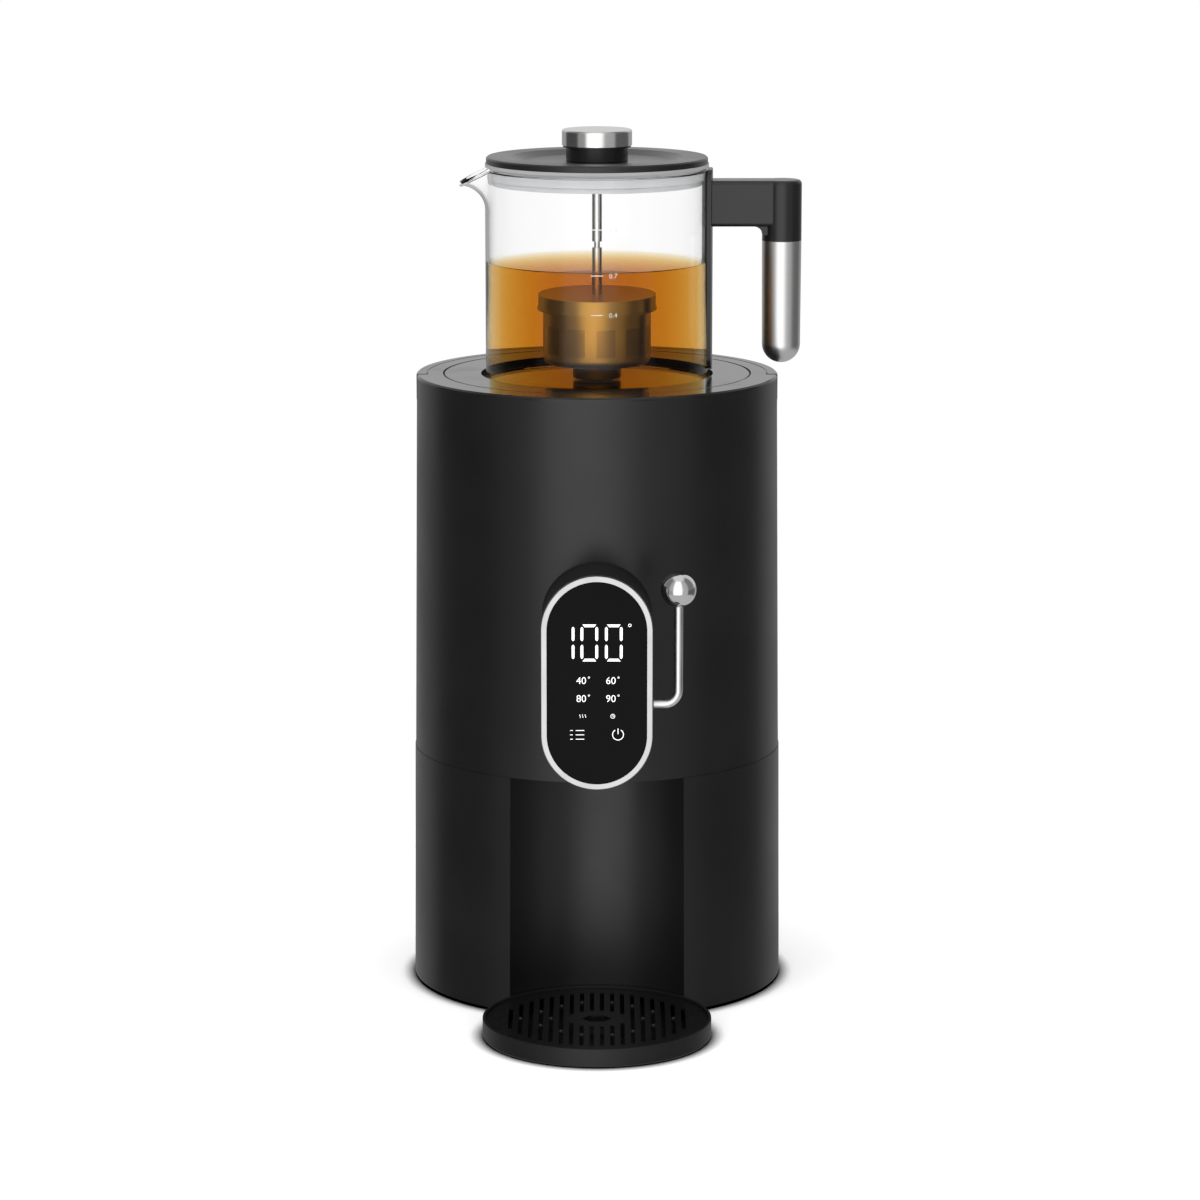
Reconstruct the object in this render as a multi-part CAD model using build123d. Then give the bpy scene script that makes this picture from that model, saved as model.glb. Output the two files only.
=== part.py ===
from build123d import *
from math import cos, radians, sin, sqrt
import os

# Electric samovar: a hot water urn with a lever tap, a drip tray and a glass teapot on its lid.
# Millimetres, +Z up. The origin is on the body axis at the floor, and the tap faces -Y.

# Fits
CLEARANCE = 0.3
PIN_FIT = 0.05
FLUSH_GAP = 0.4
BOSS_SINK = 1.0
BLIND_END = 1.0

# Body
BODY_HEIGHT = 360.0
TOP_RADIUS = 105.0
UPPER_DRAFT = 0.01
LOWER_DRAFT = 0.008
BODY_WALL = 2.6
SEAM_HEIGHT = 139.5
SEAM_STEP = 0.35
FOOT_HEIGHT = 1.6
FOOT_WIDTH = 12.0
BASE_THICKNESS = 3.0
DECK_THICKNESS = 3.0

# Cup alcove and drip tray; the stand is how far the alcove's axis is in front of the body's top edge
ALCOVE_STAND = 33.6
ALCOVE_RADIUS = 65.7
TRAY_SIDE_GAP = 0.8
TRAY_LOW = 0.4
TRAY_HEIGHT = 10.7
TRAY_WALL = 1.5
TRAY_FLOOR = 1.0
TRAY_CHAMFER = 0.6
TONGUE_WIDTH = 30.0
TONGUE_THICKNESS = 2.5
TONGUE_REACH = 6.5
TRAY_LEDGE_WIDTH = 3.0
GRILLE_DROP = 1.2
GRILLE_THICKNESS = 1.2
SLOT_WIDTH = 2.4
SLOT_PITCH = 5.77
SLOT_COLUMNS = 9
SLOT_FIELD_INSET = 10.0
SLOT_BRIDGE = 5.0
BRIDGE_CURVE_DEPTH = 34.0
BRIDGE_CURVE_COLUMN = 7
MIDDLE_BRIDGE_COLUMN = 4
CENTRE_PLATE_X = 17.0
CENTRE_PLATE_Y = 16.0
FINGER_HOLE_WIDTH = 17.0
FINGER_HOLE_DEPTH = 12.0
NUB_RADIUS = 1.1

# Top ring and carrying bail
RIM_WIDTH = 9.1
RING_PLATE = 2.0
RING_SKIRT = 2.2
RING_EDGE = 0.9
RING_LEDGE_WIDTH = 2.5
RING_LEDGE_THICKNESS = 3.2
TROUGH_WALL = 2.2
TROUGH_FLOOR = 2.0
BAIL_PROUD = 0.3
BAIL_THICKNESS = 6.3
BAIL_DEPTH = 15.0
BAIL_CORNER = 3.0
BAIL_EDGE = 0.8
PIVOT_Y = -5.5
PIVOT_DROP = 3.2
BAIL_PIN_RADIUS = 1.6
BAIL_PIN_BITE = 3.0

# Tank, heater and insulation; the rise is above the deck plate and the drop below the rim
TANK_INSET = 1.9
TANK_WALL = 1.0
TANK_RISE = 19.5
TANK_DROP = 22.8
TANK_CORNER = 6.0
TANK_FLANGE = 3.8
INSULATION_GAP = 0.3
INSULATION_THICKNESS = 8.7
INSULATION_RISE = 6.0
INSULATION_DROP = 9.2
HEATER_RADIUS = 62.0
HEATER_THICKNESS = 5.0
HEATER_EDGE = 1.0
ELEMENT_CIRCLE = 50.0
ELEMENT_RADIUS = 3.5
ELEMENT_GAP_HALF_ANGLE = 10.0
TERMINAL_RADIUS = 1.8
TERMINAL_LENGTH = 9.0
THERMOSTAT_RADIUS = 8.0
THERMOSTAT_HEIGHT = 6.0
TAB_OFFSET = 4.0
TAB_WIDTH = 2.0
TAB_LENGTH = 4.0
FUSE_RADIUS = 2.4
FUSE_LENGTH = 14.0
FUSE_X = -26.0
PROBE_RADIUS = 3.0
PROBE_HEIGHT = 9.0
PROBE_X = 26.0

# Lid of the tank and the teapot's seat
LID_GAP = 1.0
LID_PLATE = 2.5
LID_EDGE = 0.4
SEAT_DEPTH = 6.5
SEAT_GAP = 2.7
SEAT_WALL = 2.2
SEAT_FLOOR = 2.5
SEAT_LEDGE = 17.5
SEAT_PLATE = 1.5
STEAM_HOLE_RADIUS = 3.0
STEAM_HOLE_CIRCLE = 30.0
STEAM_HOLES = 6
LID_SKIRT = 2.2
LID_SKIRT_DEPTH = 4.0
GASKET_THICKNESS = 0.9

# Head with the display and the tap inside it
HEAD_WIDTH = 62.3
HEAD_HEIGHT = 121.4
HEAD_RISE = 6.1
HEAD_STAND = 45.0
HEAD_WALL = 2.4
FRAME_DEPTH = 4.2
FRAME_WIDTH = 3.1
FRAME_LIP = 2.8
FRAME_EDGE = 0.4
PANEL_INSET = 0.6
PANEL_THICKNESS = 2.2
BOARD_THICKNESS = 1.6
DIGITS_WIDTH = 36.0
DIGITS_HEIGHT = 26.0
DIGITS_RISE = 14.0
HEAD_SCREW_X = 21.0
HEAD_SCREW_SPREAD = 33.0
HEAD_BOSS_RADIUS = 4.0
HEAD_BOSS_DEPTH = 8.0

# Tap; the seat's rise is above the head's lowest point, the others above the seat
VALVE_SETBACK = 20.0
VALVE_RADIUS = 11.0
CHAMBER_RADIUS = 8.0
OUTLET_BORE = 4.0
VALVE_SEAT_RISE = 12.4
VALVE_HEIGHT = 22.0
TAP_RISE = 14.0
CAP_THICKNESS = 3.0
NOZZLE_RADIUS = 6.5
NOZZLE_DROP = 3.0
NOZZLE_CHAMFER = 0.6
PIPE_RADIUS = 5.5
PIPE_BORE = 4.0
PIPE_REACH = 13.0
PIPE_SPACE = 6.0
HOSE_WALL = 2.5
HOSE_OVERLAP = 8.0
CLAMP_THICKNESS = 1.2
CLAMP_WIDTH = 5.0
STEM_RADIUS = 2.5
STEM_BITE = 2.8
CUP_RADIUS = 6.5
CUP_HEIGHT = 5.7
COLLAR_RADIUS = 5.0
COLLAR_THICKNESS = 2.2
SPRING_RADIUS = 5.0
SPRING_WIRE = 0.4
SPRING_TURNS = 6

# Lever; the rod turns above the valve cap and in front of the stem
FORK_REACH = 8.0
ROD_RISE = 9.0
ROD_RADIUS = 2.5
ROD_BEND = 8.3
LEVER_STAND = 14.45
LEVER_LENGTH = 65.3
BALL_RADIUS = 10.0
ROD_BITE = 5.0
ROD_PAST_EAR = 1.0
EAR_INNER = 8.0
EAR_THICKNESS = 3.0
EAR_HALF_DEPTH = 4.5
BUSH_RADIUS = 4.0
BUSH_FLANGE_RADIUS = 5.5
BUSH_FLANGE = 1.5
BUSH_STAND = 0.6
CAM_RADIUS = 3.9
CAM_HALF_WIDTH = 7.0
CAM_ARM_INNER = 3.4
CAM_ARM_OUTER = 6.2
CAM_ARM_THICKNESS = 3.0
CAM_ARM_PAST_STEM = 1.0
CAM_PLAY = 1.5

# Electrics in the base
BOARD_WIDTH = 110.0
BOARD_DEPTH = 84.0
BOARD_Y = 18.0
BOARD_CORNER_INSET = 6.0
STANDOFF_RADIUS = 3.5
STANDOFF_HEIGHT = 25.4
BOARD_SCREW_DEPTH = 8.0
RELAY_WIDTH = 18.0
RELAY_DEPTH = 28.0
RELAY_HEIGHT = 16.0
RELAY_X = -31.0
RELAY_Y = 12.0
TRANSFORMER_WIDTH = 24.0
TRANSFORMER_HEIGHT = 20.0
TRANSFORMER_X = 32.0
TRANSFORMER_Y = 8.0
CAPACITOR_RADIUS = 7.0
CAPACITOR_HEIGHT = 18.0
CONNECTOR_WIDTH = 16.0
CONNECTOR_DEPTH = 6.0
CONNECTOR_HEIGHT = 8.0
CONNECTOR_Y = -7.0
INLET_HEIGHT = 45.0
INLET_WIDTH = 27.4
INLET_TALL = 20.0
INLET_DEPTH = 20.0
INLET_FLANGE_WIDTH = 42.0
INLET_FLANGE_TALL = 24.0
INLET_FLANGE = 2.6
SOCKET_WIDTH = 24.0
SOCKET_TALL = 16.6
SOCKET_DEPTH = 17.0
BLADE_WIDTH = 2.0
BLADE_TALL = 4.0
BLADE_LENGTH = 13.0
BLADE_TAIL = 8.0
BLADE_SPACING = 7.0
BLADE_DROP = 3.0
EARTH_RISE = 1.0
INLET_SCREW_X = 17.0
BASE_SCREW_ANGLES = (35, 145, 215, 325)
BASE_BOSS_RADIUS = 4.5
BASE_BOSS_HEIGHT = 26.0
SCREW_RADIUS = 1.5
SCREW_HEAD = 3.0
SCREW_HEAD_DEPTH = 1.5
SCREW_LENGTH = 14.0
LEAD_RADIUS = 1.5
CABLE_RADIUS = 2.0
CABLE_START_Y = -16.0
CABLE_RISE = 18.7
CABLE_BEND = 4.5

# Teapot; drops are below its rim and rises above its underside
POT_RADIUS = 64.8
POT_HEIGHT = 126.5
GLASS = 2.0
GLASS_FLOOR = 3.0
POT_FOOT_RADIUS = 3.0
SPOUT_REACH = 15.1
SPOUT_TIP_DROP = 10.4
SPOUT_TIP_EDGE = 1.5
SPOUT_ROOT_DROP = 24.6
SPOUT_ROOT_HALF_WIDTH = 16.0
SPOUT_TIP_HALF_WIDTH = 5.0
SPOUT_GLASS = 1.8
STRAP_THICKNESS = 2.3
STRAP_HALF_WIDTH = 13.0
STRAP_RISE = 9.5
STRAP_DROP = 1.0
STRAP_CORNER = 6.0
GRIP_REACH = 42.35
GRIP_RADIUS = 11.45
GRIP_END_RADIUS = 11.1
GRIP_RISE = 12.6
ARM_DROP = 7.4
ARM_TALL = 26.6
ARM_HALF_DEPTH = 10.0
ARM_EDGE = 2.4
ARM_FILLET = 5.0
POST_LENGTH = 8.6
CORE_RADIUS = 8.0
CORE_RISE = 7.9

# Teapot lid
SEAL_HEIGHT = 1.9
SEAL_STAND = 0.6
SEAL_WIDTH = 6.9
COVER_INSET = 0.6
COVER_THICKNESS = 3.8
COVER_EDGE = 0.8
DISH_WEB = 1.4
DISH_RIM_RADIUS = 50.0
DISH_FLOOR_RADIUS = 42.0
PLUG_GAP = 0.6
PLUG_STEP = 1.2
PLUG_STEP_DROP = 6.8
PLUG_DROP = 9.8
PLUG_WALL = 5.0
PLUG_WEB = 2.7
GUIDE_RADIUS = 6.0
GUIDE_DROP = 5.0
GUIDE_FLANGE = 1.5
GUIDE_FLANGE_RADIUS = 8.5

# Infuser
INFUSER_ROD_RADIUS = 2.9
NOTCH_RADIUS = 1.7
NOTCH_DROP = 55.8
NOTCH_TALL = 3.6
KNOB_RADIUS = 20.3
KNOB_HEIGHT = 9.1
KNOB_EDGE = 1.2
KNOB_BITE = 4.4
NECK_RADIUS = 17.9
NECK_HEIGHT = 8.7
NECK_COLLAR_RADIUS = 19.7
NECK_COLLAR = 1.1
BASKET_RADIUS = 30.5
BASKET_WALL = 0.8
BASKET_DEPTH = 37.3
BASKET_CORNER = 4.0
BASKET_CAP_OVERLAP = 5.8
BASKET_CAP_STAND = 2.8
BASKET_CAP_WALL = 0.9
BASKET_CAP_PLATE = 1.4
BASKET_FLANGE_STAND = 3.4
BASKET_FLANGE = 1.1
BASKET_FOOT_RADIUS = 13.7
BASKET_FOOT_HEIGHT = 8.2
BASKET_FOOT_GAP = 0.8
BASKET_FOOT_EDGE = 0.8

BASE = (Align.CENTER, Align.CENTER, Align.MIN)
PAST = 1.0
FAR = 200.0


def upper_radius(height):
    """Outer radius of the upper shell at a height."""
    return TOP_RADIUS + (BODY_HEIGHT - height) * UPPER_DRAFT


def lower_radius(height):
    """Outer radius of the lower housing at a height."""
    return upper_radius(SEAM_HEIGHT) + SEAM_STEP + (SEAM_HEIGHT - height) * LOWER_DRAFT


# Body and drip tray, worked out from the sizes above
base_top = FOOT_HEIGHT + BASE_THICKNESS
deck_top = SEAM_HEIGHT + DECK_THICKNESS
shell_top = BODY_HEIGHT - RING_PLATE
boss_circle = lower_radius(base_top) - BODY_WALL - BASE_BOSS_RADIUS + BOSS_SINK
foot_outer = boss_circle - BASE_BOSS_RADIUS
alcove_y = -TOP_RADIUS - ALCOVE_STAND
tray_radius = ALCOVE_RADIUS - TRAY_SIDE_GAP
grille_top = TRAY_HEIGHT - GRILLE_DROP
grille_low = grille_top - GRILLE_THICKNESS
grille_radius = tray_radius - TRAY_WALL - FLUSH_GAP
slot_field_radius = grille_radius - SLOT_FIELD_INSET
tongue_low = base_top + 2 * CLEARANCE

# Rim, bail and lid
bail_outer = TOP_RADIUS + BAIL_PROUD
bail_inner = bail_outer - BAIL_THICKNESS
ring_inner = bail_inner - RIM_WIDTH
bail_low = BODY_HEIGHT - BAIL_DEPTH
pivot_height = BODY_HEIGHT - PIVOT_DROP
bail_end_y = PIVOT_Y - PIVOT_DROP
bail_end_round = PIVOT_DROP - PIN_FIT
trough_inner = bail_inner - CLEARANCE
trough_top = bail_low - FLUSH_GAP
lid_radius = ring_inner - LID_GAP
lid_low = BODY_HEIGHT - LID_PLATE
ledge_top = lid_low - CLEARANCE
ledge_low = ledge_top - RING_LEDGE_THICKNESS
ledge_inner = ring_inner - RING_LEDGE_WIDTH
gasket_outer = ledge_inner - CLEARANCE
skirt_radius = gasket_outer - GASKET_THICKNESS
pot_low = BODY_HEIGHT - SEAT_DEPTH
seat_radius = POT_RADIUS + SEAT_GAP
seat_top = pot_low - CLEARANCE
seat_floor_top = seat_top - SEAT_PLATE

# Tank and heater
tank_radius = ring_inner - TANK_INSET
tank_low = deck_top + TANK_RISE
tank_top = BODY_HEIGHT - TANK_DROP
within_shell = -tank_radius
insulation_inner = tank_radius + INSULATION_GAP
insulation_outer = insulation_inner + INSULATION_THICKNESS
insulation_low = tank_low + INSULATION_RISE
insulation_high = tank_top - INSULATION_DROP
heater_low = tank_low - HEATER_THICKNESS
element_height = heater_low - ELEMENT_RADIUS

# Head
head_bottom = SEAM_HEIGHT + HEAD_RISE
head_middle = head_bottom + HEAD_HEIGHT / 2
head_front = -TOP_RADIUS - HEAD_STAND
head_boss_front = -upper_radius(head_middle) - HEAD_BOSS_DEPTH
frame_back = head_front + FRAME_DEPTH
panel_front = head_front + PANEL_INSET
panel_back = panel_front + PANEL_THICKNESS
head_inner_half = HEAD_WIDTH / 2 - HEAD_WALL
head_arc_height = head_bottom + HEAD_WIDTH / 2

# Tap and lever
valve_y = head_front + VALVE_SETBACK
valve_low = head_arc_height - sqrt(head_inner_half**2 - VALVE_RADIUS**2) + CLEARANCE
valve_seat = head_bottom + VALVE_SEAT_RISE
valve_top = valve_seat + VALVE_HEIGHT
cap_top = valve_top + CAP_THICKNESS
tap_level = valve_seat + TAP_RISE
nozzle_low = head_bottom - NOZZLE_DROP
tank_pipe_end = -tank_radius - PIPE_REACH
valve_pipe_end = tank_pipe_end - PIPE_SPACE
hose_radius = PIPE_RADIUS + HOSE_WALL
clamp_radius = hose_radius + CLAMP_THICKNESS
cup_low = valve_seat + CLEARANCE
stem_low = cup_low + STEM_BITE
rod_y = valve_y - FORK_REACH
rod_height = cap_top + ROD_RISE
rod_upright_x = HEAD_WIDTH / 2 + LEVER_STAND
ball_height = rod_height + LEVER_LENGTH
collar_low = rod_height + CAM_ARM_THICKNESS / 2 + CAM_PLAY

# Electrics
board_low = base_top + STANDOFF_HEIGHT
board_top = board_low + BOARD_THICKNESS
inlet_back = lower_radius(INLET_HEIGHT) - BODY_WALL + CLEARANCE
inlet_face = inlet_back + INLET_FLANGE
cable_x = clamp_radius + CABLE_RADIUS + 2 * CLEARANCE
cable_top = head_middle + CABLE_RISE
cable_circle = (insulation_outer + upper_radius(cable_top) - BODY_WALL) / 2
cable_rise_y = -sqrt(cable_circle**2 - cable_x**2)
window_half = cable_x + CABLE_RADIUS + CLEARANCE
window_low = tap_level - clamp_radius - 2 * CLEARANCE
window_high = cable_top + 2 * CABLE_BEND

# Teapot
pot_rim = pot_low + POT_HEIGHT
pot_inner = POT_RADIUS - GLASS
pot_floor = pot_low + GLASS_FLOOR
spout_tip_x = -POT_RADIUS - SPOUT_REACH
spout_tip_height = pot_rim - SPOUT_TIP_DROP
spout_root_height = pot_rim - SPOUT_ROOT_DROP
strap_outer = POT_RADIUS + STRAP_THICKNESS
strap_low = pot_low + STRAP_RISE
strap_high = pot_rim - STRAP_DROP
grip_x = POT_RADIUS + GRIP_REACH
grip_low = pot_low + GRIP_RISE
arm_top = pot_rim - ARM_DROP
arm_low = arm_top - ARM_TALL
grip_top = arm_low - POST_LENGTH
core_low = grip_low + CORE_RISE

# Teapot lid
seal_low = pot_rim + CLEARANCE
cover_low = seal_low + SEAL_HEIGHT
cover_top = cover_low + COVER_THICKNESS
cover_radius = POT_RADIUS - COVER_INSET
seal_radius = cover_radius + SEAL_STAND
seal_inner = seal_radius - SEAL_WIDTH
dish_floor = cover_low + DISH_WEB
plug_radius = pot_inner - PLUG_GAP
plug_step_height = pot_rim - PLUG_STEP_DROP
plug_low = pot_rim - PLUG_DROP
guide_low = pot_rim - GUIDE_DROP

# Infuser
neck_low = dish_floor + CLEARANCE
knob_low = neck_low + NECK_HEIGHT
knob_top = knob_low + KNOB_HEIGHT
notch_high = knob_low - NOTCH_DROP
notch_low = notch_high - NOTCH_TALL
basket_foot_low = pot_floor + BASKET_FOOT_GAP
basket_low = basket_foot_low + BASKET_FOOT_HEIGHT
basket_high = basket_low + BASKET_DEPTH
basket_cap_top = basket_high + BASKET_CAP_PLATE
basket_cap_low = basket_high - BASKET_CAP_OVERLAP
basket_cap_radius = BASKET_RADIUS + BASKET_CAP_STAND
basket_flange_radius = BASKET_RADIUS + BASKET_FLANGE_STAND


def disc(radius, low, high, x=0, y=0):
    """Upright cylinder between two heights."""
    return Pos(x, y, low) * Cylinder(radius, high - low, align=BASE)


def ring(outer, inner, low, high, x=0, y=0):
    """Upright tube between two heights."""
    return disc(outer, low, high, x, y) - disc(inner, low - PAST, high + PAST, x, y)


def block(x_range, y_range, z_range):
    """Box between two values along each axis."""
    spans = [(min(pair), max(pair)) for pair in (x_range, y_range, z_range)]
    low = [span[0] for span in spans]
    sizes = [span[1] - span[0] for span in spans]
    return Pos(*low) * Box(*sizes, align=(Align.MIN, Align.MIN, Align.MIN))


def along_x(radius, left, right, y, z):
    """Cylinder lying along X."""
    return Pos(left, y, z) * Rot(0, 90, 0) * Cylinder(radius, right - left, align=BASE)


def along_y(radius, front, back, x, z):
    """Cylinder lying along Y."""
    return Pos(x, front, z) * Rot(-90, 0, 0) * Cylinder(radius, back - front, align=BASE)


def turned(*corners):
    """Solid turned about the body axis from its (radius, height) corners."""
    outline = Polyline(*[(radius, 0, height) for radius, height in corners], close=True)
    return revolve(make_face(outline), Axis.Z)


def drafted(low, high, radius_at, inset=0.0):
    """Solid frustum that follows a drafted wall, inset by a wall thickness."""
    return Pos(0, 0, low) * Cone(radius_at(low) - inset, radius_at(high) - inset, high - low, align=BASE)


def head_slot(inset, front, back):
    """Upright round-ended block with the head's outline, inset all round."""
    outline = SlotOverall(HEAD_HEIGHT - 2 * inset, HEAD_WIDTH - 2 * inset, rotation=90)
    return extrude(Plane.XZ.offset(-back) * Pos(0, head_middle) * outline, back - front)


def separate(*parts):
    """Several solids of one kind kept apart in one node."""
    solids = [solid for part in parts for solid in part.solids()]
    return Compound(children=solids)


def around(angles, circle):
    """Points on a circle about the body axis."""
    return [(circle * cos(radians(angle)), circle * sin(radians(angle))) for angle in angles]


def tube(points, radius, bends):
    """Round wire along straight runs joined by tangent arcs."""
    path = FilletPolyline(*points, radius=bends) if len(points) > 2 else Polyline(*points)
    start = Plane(origin=path @ 0, z_dir=path % 0)
    return sweep(start * Circle(radius), path)


# Body shells

def bail_recess():
    """Space in the rear half of the rim that the carrying bail lies in."""
    rim = ring(bail_outer + FAR, trough_inner, trough_top, BODY_HEIGHT + PAST)
    return rim & block((-FAR, FAR), (bail_end_y - FLUSH_GAP, FAR), (trough_top, BODY_HEIGHT + PAST))


def head_window():
    """Hole behind the head for the hose and the display cable."""
    y_range = (valve_pipe_end - HEAD_BOSS_DEPTH, within_shell)
    return block((-window_half, window_half), y_range, (window_low, window_high))


def head_screw_places():
    """The four places where the head is screwed on from inside."""
    heights = (head_middle - HEAD_SCREW_SPREAD, head_middle + HEAD_SCREW_SPREAD)
    return [(side * HEAD_SCREW_X, height) for side in (-1, 1) for height in heights]


def upper_shell():
    shell = drafted(SEAM_HEIGHT, shell_top, upper_radius)
    shell -= drafted(SEAM_HEIGHT, shell_top, upper_radius, BODY_WALL)
    shell -= bail_recess()
    shell -= head_window()
    for x, z in head_screw_places():
        shell -= along_y(SCREW_RADIUS, head_front, within_shell, x, z)
    return shell


def alcove_space(extra=0.0):
    """Upright cylinder that hollows out the front of the base for a cup."""
    return disc(ALCOVE_RADIUS + extra, -PAST, SEAM_HEIGHT + PAST, y=alcove_y)


def base_boss_places():
    """Centres of the base screws, just inside the wall."""
    return around(BASE_SCREW_ANGLES, boss_circle)


def lower_housing():
    outer = drafted(FOOT_HEIGHT, SEAM_HEIGHT, lower_radius)
    shell = outer - drafted(FOOT_HEIGHT, SEAM_HEIGHT, lower_radius, BODY_WALL)
    shell += outer & alcove_space(BODY_WALL)
    for x, y in base_boss_places():
        boss = disc(BASE_BOSS_RADIUS, base_top, base_top + BASE_BOSS_HEIGHT, x, y)
        shell += boss & outer
        shell -= disc(SCREW_RADIUS, base_top - PAST, base_top + SCREW_LENGTH, x, y)
    shell -= alcove_space()
    shell -= inlet_block(CLEARANCE)
    shell -= inlet_flange(CLEARANCE, FAR)
    for side in (-1, 1):
        x = side * INLET_SCREW_X
        shell -= along_y(SCREW_RADIUS, inlet_back - SCREW_LENGTH, inlet_back + PAST, x, INLET_HEIGHT)
    half = TONGUE_WIDTH / 2 + FLUSH_GAP
    slot_heights = (tongue_low - CLEARANCE, tongue_low + TONGUE_THICKNESS + CLEARANCE)
    slot_back = alcove_y + ALCOVE_RADIUS + 2 * BODY_WALL
    return shell - block((-half, half), (alcove_y, slot_back), slot_heights)


def base_plate():
    plate = disc(lower_radius(base_top) - BODY_WALL - CLEARANCE, FOOT_HEIGHT, base_top)
    plate -= alcove_space(BODY_WALL + CLEARANCE)
    for x, y in base_boss_places():
        plate -= disc(SCREW_RADIUS, FOOT_HEIGHT - PAST, base_top + PAST, x, y)
        plate -= disc(SCREW_HEAD + CLEARANCE, FOOT_HEIGHT - PAST, FOOT_HEIGHT + SCREW_HEAD_DEPTH, x, y)
    return plate


def foot_ring():
    foot = ring(foot_outer, foot_outer - FOOT_WIDTH, 0, FOOT_HEIGHT)
    return foot - alcove_space(BODY_WALL + PAST)


def base_screws():
    """Screws that hold the base plate, their heads sunk in it."""
    screws = []
    for x, y in base_boss_places():
        head_top = FOOT_HEIGHT + SCREW_HEAD_DEPTH
        screw = disc(SCREW_HEAD, FOOT_HEIGHT, head_top, x, y)
        screws.append(screw + disc(SCREW_RADIUS, head_top, base_top + SCREW_LENGTH, x, y))
    return screws


def deck_plate():
    plate = disc(upper_radius(deck_top) - BODY_WALL - CLEARANCE, SEAM_HEIGHT, deck_top)
    for x, y in terminal_places() + [(cable_x, CABLE_START_Y)]:
        plate -= disc(2 * CABLE_RADIUS, SEAM_HEIGHT - PAST, deck_top + PAST, x, y)
    return plate


def top_ring():
    """Rim moulding with the skirt round the tank's mouth and the trough for the bail."""
    skirt = ring_inner + RING_SKIRT
    wall = trough_inner - TROUGH_WALL
    floor_outer = upper_radius(trough_top) - BODY_WALL - CLEARANCE
    floor_low = trough_top - TROUGH_FLOOR
    rim = turned(
        (ring_inner, tank_top), (skirt, tank_top), (skirt, shell_top), (wall, shell_top), (wall, floor_low),
        (floor_outer, floor_low), (floor_outer, trough_top), (trough_inner, trough_top),
        (trough_inner, shell_top), (TOP_RADIUS, shell_top), (TOP_RADIUS, BODY_HEIGHT - RING_EDGE),
        (TOP_RADIUS - RING_EDGE, BODY_HEIGHT), (ring_inner, BODY_HEIGHT), (ring_inner, ledge_top),
        (ledge_inner, ledge_top), (ledge_inner, ledge_low), (ring_inner, ledge_low))
    rim -= bail_recess()
    return rim - along_x(BAIL_PIN_RADIUS + PIN_FIT, -FAR, FAR, PIVOT_Y, pivot_height)


# Carrying bail

def bail_pin_solids():
    pin = along_x(BAIL_PIN_RADIUS, wall_inner_x(), bail_inner + BAIL_PIN_BITE, PIVOT_Y, pivot_height)
    return pin, mirror(pin, Plane.YZ)


def wall_inner_x():
    """Where the trough's inner wall stands at the pivot."""
    return sqrt((trough_inner - TROUGH_WALL)**2 - PIVOT_Y**2)


def bail():
    band = ring(bail_outer, bail_inner, bail_low, BODY_HEIGHT)
    band = chamfer(band.edges().filter_by(GeomType.CIRCLE).group_by(Axis.Z)[-1], BAIL_EDGE)
    depth = FAR - bail_end_y
    side = Plane.YZ * Pos(bail_end_y + depth / 2, BODY_HEIGHT - BAIL_DEPTH / 2) * Rectangle(depth, BAIL_DEPTH)
    ends = side.vertices().group_by(Axis.Y)[0].sort_by(Axis.Z)
    side = fillet(ends[0], BAIL_CORNER)
    side = fillet(side.vertices().group_by(Axis.Z)[-1].sort_by(Axis.Y)[0], bail_end_round)
    band &= extrude(side, FAR, both=True)
    for pin in bail_pin_solids():
        band -= pin
    return band


def bail_pins():
    return separate(*bail_pin_solids())


# Tank and heater

def water_tank():
    inner = tank_radius - TANK_WALL
    flange_low = tank_top - TANK_WALL
    tank = disc(tank_radius, tank_low, tank_top)
    tank = fillet(tank.edges().group_by(Axis.Z)[0], TANK_CORNER)
    hollow = disc(inner, tank_low + TANK_WALL, tank_top + PAST)
    hollow = fillet(hollow.edges().group_by(Axis.Z)[0], TANK_CORNER - TANK_WALL)
    tank += ring(tank_radius + TANK_FLANGE, inner, flange_low, tank_top)
    return tank - hollow - along_y(PIPE_RADIUS, -tank_radius - PAST, 0, 0, tap_level)


def insulation_sleeve():
    sleeve = ring(insulation_outer, insulation_inner, insulation_low, insulation_high)
    half = clamp_radius + 2 * CLEARANCE
    return sleeve - block((-half, half), (-FAR, 0), (insulation_low - PAST, tap_level + half))


def heater_disc():
    plate = disc(HEATER_RADIUS, heater_low, tank_low)
    return chamfer(plate.edges().group_by(Axis.Z)[0], HEATER_EDGE)


def terminal_places():
    """Ends of the ring element, behind the middle."""
    return around((90 - ELEMENT_GAP_HALF_ANGLE, 90 + ELEMENT_GAP_HALF_ANGLE), ELEMENT_CIRCLE)


def heating_element():
    sweep_angle = 360 - 2 * ELEMENT_GAP_HALF_ANGLE
    start = 90 + ELEMENT_GAP_HALF_ANGLE
    section = Plane.XZ * Pos(ELEMENT_CIRCLE, element_height) * Circle(ELEMENT_RADIUS)
    element = Rot(0, 0, start) * revolve(section, Axis.Z, sweep_angle)
    for x, y in terminal_places():
        element += Pos(x, y, element_height) * Sphere(ELEMENT_RADIUS)
        element += disc(TERMINAL_RADIUS, element_height - TERMINAL_LENGTH, element_height, x, y)
    return element


def thermostat():
    low = heater_low - THERMOSTAT_HEIGHT
    body = disc(THERMOSTAT_RADIUS, low, heater_low)
    half = TAB_WIDTH / 2
    for x in (-TAB_OFFSET, TAB_OFFSET):
        body += block((x - half, x + half), (-half, half), (low - TAB_LENGTH, low))
    return body


def thermal_fuse():
    half = FUSE_LENGTH / 2
    return along_y(FUSE_RADIUS, -half, half, FUSE_X, heater_low - FUSE_RADIUS)


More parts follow.
